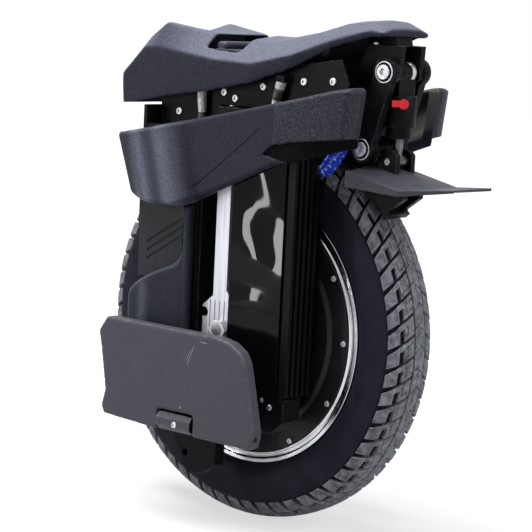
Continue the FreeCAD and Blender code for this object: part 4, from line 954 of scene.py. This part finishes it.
# How strongly the skin is painted paler along the front ridges: a painted highlight, strongest on the
# crests.
ridge_highlight = [(0.060, 0.0), (0.078, 0.35), (0.094, 0.90), (0.106, 0.80), (0.117, 0.20), (0.126, 0.35),
             (0.136, 0.95), (0.146, 0.55), (0.156, 0.08), (0.178, 0.0)]
ridge_rear, ridge_front = 0.055, 0.164
ridge_lean = 0.010
front_slide, front_slide_start, front_slide_run = 0.029, -0.04, 0.10
rear_slide, rear_slide_start, rear_slide_run = 0.009, -0.13, 0.06
raised_foot = [(-0.207, 0.5065), (-0.089, 0.4900), (-0.071, 0.4770)]
raised_front = -0.087
raised_rise = 0.0022
hollow_foot = [(-0.110, 0.4690), (-0.071, 0.4770)]
hollow_front = -0.071
hollow_skin = 0.003
recess_rear, recess_front = -0.181, -0.105
recess_depth = 0.007
recess_step = 0.0008
recess_top, recess_base = 0.0060, 0.0250
seam_start, seam_end = (0.037, 0.4276), (-0.069, 0.512)
seam_width = 0.0016
rows_up = 84
rows_along = 220


def graph(points, place):
    """Height of a smooth line through (place, height) points."""
    place = min(max(place, points[0][0]), points[-1][0])
    k = max(i for i in range(len(points) - 1) if points[i][0] <= place)
    slopes = []
    for i in (k, k + 1):
        before, after = points[max(i - 1, 0)], points[min(i + 1, len(points) - 1)]
        slopes.append((after[1] - before[1]) / (after[0] - before[0]))
    (x0, y0), (x1, y1) = points[k], points[k + 1]
    run = x1 - x0
    t = (place - x0) / run
    return ((2 * t ** 3 - 3 * t * t + 1) * y0 + (t ** 3 - 2 * t * t + t) * run * slopes[0]
            + (3 * t * t - 2 * t ** 3) * y1 + (t ** 3 - t * t) * run * slopes[1])


def ease(t):
    """A smooth step from 0 to 1."""
    t = min(max(t, 0.0), 1.0)
    return t * t * (3 - 2 * t)


def pad_loop(place, fullness):
    """Points round the pad at one place along it, up its face and down its back, each with its finish."""
    slide = front_slide * ease((place - front_slide_start) / front_slide_run)
    slide -= rear_slide * ease((rear_slide_start - place) / rear_slide_run)
    high = graph(pad_top, place)
    foot = graph(pad_foot, place - slide)
    back = graph(pad_back, place)
    ridged = ease((place - ridge_rear) / 0.018) * ease((ridge_front - place) / 0.020)
    set_back = slide + 0.87 * ridge_lean * ridged
    loop = []
    for k in range(rows_up + 1):
        share = k / rows_up - 0.8 * math.sin(2 * math.pi * k / rows_up) / (2 * math.pi)
        x = place - set_back * (1 - share)
        z = foot + (high - foot) * share
        above = ease((z - graph(raised_foot, x) + 0.0012) / 0.0030)
        raised = ease((raised_front - x) / 0.004) * above
        hollow = ease((hollow_front - x) / 0.004) * (1 - above) * ease((z - graph(hollow_foot, x)) / 0.0025)
        face = graph(pad_face, place) + ridge_lean * (1 - share) * ridged + raised_rise * raised
        face -= hollow * (face - back - hollow_skin)
        swell = 0.2 + 0.8 * dome(min(z - foot, high - z) / pad_edge)
        finish = 1 if raised > 0.5 else 2 if hollow > 0.5 else 0
        painted_highlight = graph(ridge_highlight, place) * ease(2.2 - 1.6 * share)
        loop.append((Vector((x, back + (face - back) * swell * fullness, z)), finish, painted_highlight))
    recess = recess_depth * ease((place - recess_rear) / 0.003) * ease((recess_front - place) / 0.012)
    for z, outward in ((high, 0.0), (high - recess_top, 0.0), (high - recess_top - recess_step, recess),
                       (foot + recess_base + recess_step, recess), (foot + recess_base, 0.0), (foot, 0.0)):
        x = place - slide * (high - z) / (high - foot)
        loop.append((Vector((x, back + outward, z)), 3, 0.0))
    return loop


near_end = [0.0, 0.0004, 0.0012, 0.0025, 0.0045, end_round]
places = near_end + [end_round + (pad_length - 2 * end_round) * k / rows_along for k in range(1, rows_along)]
places += [pad_length - gap for gap in near_end[::-1]]
pad_loops = []
for reach in places:
    fullness = 0.35 + 0.65 * dome(min(reach, pad_length - reach) / end_round)
    pad_loops.append(pad_loop(pad_rear + reach, fullness))
pad_form = bmesh.new()
skin_over(pad_form, pad_loops)

pad_skin = cloudy_finish("pad_skin", (0.012, 0.013, 0.021), (0.029, 0.031, 0.046), cloud=0.0010,
                         cloud_detail=4.0, rough=(0.44, 0.58), patch=0.003, grain=0.0009, relief=0.00035,
                         shine=0.09)
tree, surface = parts_of(pad_skin)
highlight_weight = tree.nodes.new("ShaderNodeAttribute")
highlight_weight.attribute_name = "painted_highlight"
# The paler tone laid where the painted-highlight weight is high.
painted_highlight_tone = tint(tree, speckle(tree, 0.0010, 4.0), (0.064, 0.068, 0.096), (0.165, 0.175, 0.232))
lay_over(tree, surface, highlight_weight.outputs["Fac"], painted_highlight_tone)
lay_over(tree, surface, drawn_line(tree, seam_start, seam_end, seam_width), (0.002, 0.002, 0.003))

pebbled = cloudy_finish("pad_pebbled", (0.011, 0.012, 0.018), (0.042, 0.044, 0.059), cloud=0.0016,
                        rough=(0.40, 0.54), patch=0.003, shine=0.12)
tree, surface = parts_of(pebbled)
pebbles = tree.nodes.new("ShaderNodeTexVoronoi")
pebbles.feature = "SMOOTH_F1"
pebbles.inputs["Scale"].default_value = 430.0
tree.links.new(on_piece(tree), pebbles.inputs["Vector"])
emboss(tree, surface, spread(tree, pebbles.outputs["Distance"], 1.0, 0.0, 0.0, 0.8), 0.0009)

# The hollow under the pebbled block is painted near black: painted shade of the recess.
painted_hollow_shade = cloudy_finish("pad_hollow_painted_shade", (0.0025, 0.0025, 0.003), (0.004, 0.004, 0.005), cloud=0.001,
                          cloud_detail=4.0, rough=(0.46, 0.60), patch=0.003, grain=0.001, relief=0.0002,
                          shine=0.03)
pad_backing = cloudy_finish("pad_backing", (0.130, 0.121, 0.114), (0.180, 0.169, 0.160), cloud=0.0015,
                            cloud_detail=4.0, rough=(0.46, 0.60), patch=0.0045, grain=0.0015, relief=0.0003,
                            shine=0.09)


def soft_pads(node, form, *finishes):
    """A pair of skinned foam pads that stand for the left and right nodes of one name."""
    pads = both_sides(node + "_soft", form, "chassis", "pad_charcoal", *finishes)
    for pad, name in zip(pads, pair(node)):
        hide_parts(name)


soft_pads("leg_pad", pad_form, pad_skin, pebbled, painted_hollow_shade, pad_backing)


# Instep pads: shorter pads of the same skinned foam under the leg pads, hooked at the front for the foot.
# Each is moulded with a rounded front edge and is fixed to its slide rail and grooved panel. Their skin is
# painted paler on the crest and along the front edge as painted highlight.
instep_low, instep_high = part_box("instep_pad_left")
instep_rear, instep_side = instep_low[0], instep_low[1]
instep_height = instep_high[2] - instep_low[2]
instep_front = [(0.0, 0.104), (0.14, 0.107), (0.30, 0.1067), (0.35, 0.102), (0.41, 0.0885), (0.467, 0.0695),
                (0.526, 0.0465), (0.578, 0.0245), (0.635, 0.0125), (0.708, 0.0085), (0.898, 0.0090),
                (1.0, 0.012)]
instep_crown = [(0.0, 0.0172), (0.030, 0.0186), (0.052, 0.0198), (0.066, 0.0188), (0.085, 0.0140),
                (0.107, 0.0100)]
instep_edge = 0.009
instep_round = 0.006
slope_step = 0.01
crest_place, crest_reach, crest_highlight = 0.070, 0.016, 0.45
crest_top, crest_fade = 0.47, 0.12
lip_place, lip_reach, front_edge_highlight = 0.0045, 0.0040, 0.40
rows_up = 96
rows_along = 40
instep_loops = []
for k in range(rows_up + 1):
    share = k / rows_up
    z = instep_low[2] + instep_height * share
    reach = graph(instep_front, share)
    below, above = max(share - slope_step, 0.0), min(share + slope_step, 1.0)
    steep = (graph(instep_front, above) - graph(instep_front, below)) / ((above - below) * instep_height)
    fullness = 0.4 + 0.6 * dome(min(share, 1 - share) * instep_height / instep_round)
    loop = plain([(instep_rear, instep_side, z)])
    for i in range(rows_along + 1):
        along = reach * (1 - (1 - i / rows_along) ** 1.6)
        gap = min((reach - along) / math.sqrt(1 + steep * steep), along + 0.004)
        thick = graph(instep_crown, along) * (0.12 + 0.88 * dome(gap / instep_edge)) * fullness
        # Painted highlight weights: on the crest's upper part and in a band just inside the front edge.
        crest = ease(1 - abs(along - crest_place) / crest_reach) * ease((crest_top - share) / crest_fade)
        lip = ease(1 - abs(gap - lip_place) / lip_reach) * front_edge_highlight
        loop.append((Vector((instep_rear + along, instep_side + thick, z)), 0, max(crest * crest_highlight, lip)))
    loop += plain([(instep_rear + reach, instep_side, z)])
    instep_loops.append(loop)
instep_form = bmesh.new()
skin_over(instep_form, instep_loops)
soft_pads("instep_pad", instep_form, pad_skin)


# Battery leads: a stout black lead on each side from under the deck to the gland of the battery box.
# A braided sleeve of glossy royal blue polyester yarn protects most of it, heat-cut at both ends.
lead_low, lead_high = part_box("battery_lead_left")
lead_radius = (lead_high[1] - lead_low[1]) / 2
lead_side = (lead_high[1] + lead_low[1]) / 2
lead_rear = lead_low[0] + lead_radius
lead_foot = lead_low[2] + lead_radius
lead_turn = lead_high[2] - 0.045
lead_corner = lead_high[0] - 0.0106
lead_route = [(lead_rear, lead_high[2]), (lead_rear, lead_turn + 0.012),
              (lead_rear + 0.006, lead_turn - 0.007), (lead_corner - 0.007, lead_foot + 0.009),
              (lead_corner + 0.002, lead_foot), (lead_high[0], lead_foot)]
sleeve_radius = 0.0088
sleeve_top = lead_high[2] - 0.022
sleeve_front = lead_high[0] - 0.005
cable_black = cloudy_finish("cable_black", (0.006, 0.006, 0.007), (0.011, 0.011, 0.012), cloud=0.003,
                            rough=(0.34, 0.5), patch=0.003, grain=0.0008, relief=0.0001)

sleeve_blue, tree, surface = new_finish("sleeve_blue")
yarn = tint(tree, speckle(tree, 0.0011, 5.0), (0.001, 0.006, 0.15), (0.012, 0.045, 0.62), 0.36, 0.62)
# Pale specks over the yarn are painted glints: painted highlights of the braid.
glint = spread(tree, speckle(tree, 0.0022, 1.0), 0.0, 1.0, 0.60, 0.68)
tree.links.new(yarn, surface.inputs["Base Color"])
lay_over(tree, surface, glint, (0.26, 0.40, 0.98))
tree.links.new(spread(tree, speckle(tree, 0.001), 0.22, 0.5), surface.inputs["Roughness"])
surface.inputs["Specular IOR Level"].default_value = 0.16
emboss(tree, surface, speckle(tree, 0.0006, 4.0), 0.0002)


def centreline(cord):
    """Points along a curve's own line."""
    bare = cord.data.copy()
    bare.bevel_depth = 0.0
    holder = bpy.data.objects.new("centreline", bare)
    mesh = bpy.data.meshes.new_from_object(holder)
    line = [spot.co.copy() for spot in mesh.vertices]
    bpy.data.objects.remove(holder)
    bpy.data.curves.remove(bare)
    bpy.data.meshes.remove(mesh)
    return line


def braided_tube(form, line, radius, strands, lay, relief, around=72):
    """A tube along a line, its skin raised like crossed strands; radius is a function of the share along."""
    reach = [0.0]
    for here, there in zip(line, line[1:]):
        reach.append(reach[-1] + (there - here).length)
    aside = Vector((0.0, 1.0, 0.0))
    loops = []
    for k, spot in enumerate(line):
        along = (line[min(k + 1, len(line) - 1)] - line[max(k - 1, 0)]).normalized()
        side = (aside - along * aside.dot(along)).normalized()
        other = along.cross(side)
        twist = 2 * math.pi * reach[k] / lay
        loop = []
        for i in range(around):
            angle = 2 * math.pi * i / around
            weave = max(math.cos(strands * angle + twist), math.cos(strands * angle - twist))
            r = radius(reach[k] / reach[-1]) + relief * weave
            loop.append(spot + side * r * math.cos(angle) + other * r * math.sin(angle))
        loops.append(plain(loop))
    skin_over(form, loops)


def sleeve_girth(share):
    """The sleeve's radius: full along its length and drawn in at the cut ends."""
    return sleeve_radius * (0.78 + 0.22 * dome(min(share, 1 - share) / 0.12))


for word, y in (("left", lead_side), ("right", -lead_side)):
    line = bpy.data.curves.new("battery_cord_" + word, "CURVE")
    line.dimensions = "3D"
    line.bevel_depth = lead_radius
    line.bevel_resolution = 6
    line.resolution_u = 24
    line.use_fill_caps = True
    run = line.splines.new("NURBS")
    run.points.add(len(lead_route) - 1)
    for spot, (x, z) in zip(run.points, lead_route):
        spot.co = (x, y, z, 1.0)
    run.order_u = 3
    run.use_endpoint_u = True
    line.materials.append(cable_black)
    cord = place_piece("battery_cord_" + word, line, "chassis")
    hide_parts("battery_lead_" + word)
    middle_line = centreline(cord)
    covered = [spot for spot in middle_line if spot.z < sleeve_top and spot.x < sleeve_front]
    sleeve_form = bmesh.new()
    braided_tube(sleeve_form, covered, sleeve_girth, 9, 0.011, 0.0005)
    sleeve = new_piece("braided_sleeve_" + word, sleeve_form, "chassis", "sleeve_blue", sleeve_blue)
    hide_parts("lead_sleeve_" + word)


# Cover leads: short leads under the top cover in off-white woven glass sleeves, flared at their upper ends.
# Each plugs into a black moulded boot on the box below, and a shrunk collar grips the rear one half way up.
short_low, short_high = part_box("cover_leads")
short_side = (short_high[1] + deck_side) / 2 + 0.0004
short_foot = short_low[2] + 0.018
short_leads = [((0.0610, short_foot), (0.0622, 0.536), (0.0630, 0.5520)),
               ((-0.0585, short_foot), (-0.0630, 0.5440), (-0.0690, 0.5660))]
short_radius, short_flare = 0.0048, 0.0014
boot_line = [(0.0001, 0.0), (0.0058, 0.0), (0.0060, 0.004), (0.0060, 0.013), (0.0052, 0.020),
             (0.0001, 0.020)]
grip_line = [(0.0001, 0.0), (0.0064, 0.0), (0.0070, 0.003), (0.0070, 0.011), (0.0062, 0.014),
             (0.0001, 0.014)]
lead_white = cloudy_finish("lead_white", (0.46, 0.42, 0.39), (0.78, 0.75, 0.72), cloud=0.002,
                           cloud_detail=4.0, rough=(0.6, 0.8), patch=0.002, grain=0.0007, relief=0.0002,
                           grain_detail=4.0)


def flared_girth(share):
    """The woven sleeve's radius, which grows towards its upper end."""
    return short_radius + short_flare * share


white_form = bmesh.new()
boot_form = bmesh.new()
for route in short_leads:
    line = smooth_curve([(x, short_side, z) for x, z in route], 12)
    braided_tube(white_form, line, flared_girth, 8, 0.009, 0.0003, 48)
    turned(boot_form, (route[0][0], short_side, short_low[2]), (0, 0, 1), boot_line, 32)
(x, z), (upper_x, upper_z) = short_leads[1][1:]
turned(boot_form, (x, short_side, z), (upper_x - x, 0.0, upper_z - z), grip_line, 32)
sleeves = both_sides("cover_sleeves", white_form, "chassis", "lead_white", lead_white)
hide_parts("cover_leads")
both_sides("cover_boots", boot_form, "chassis", "cable_black", cable_black)
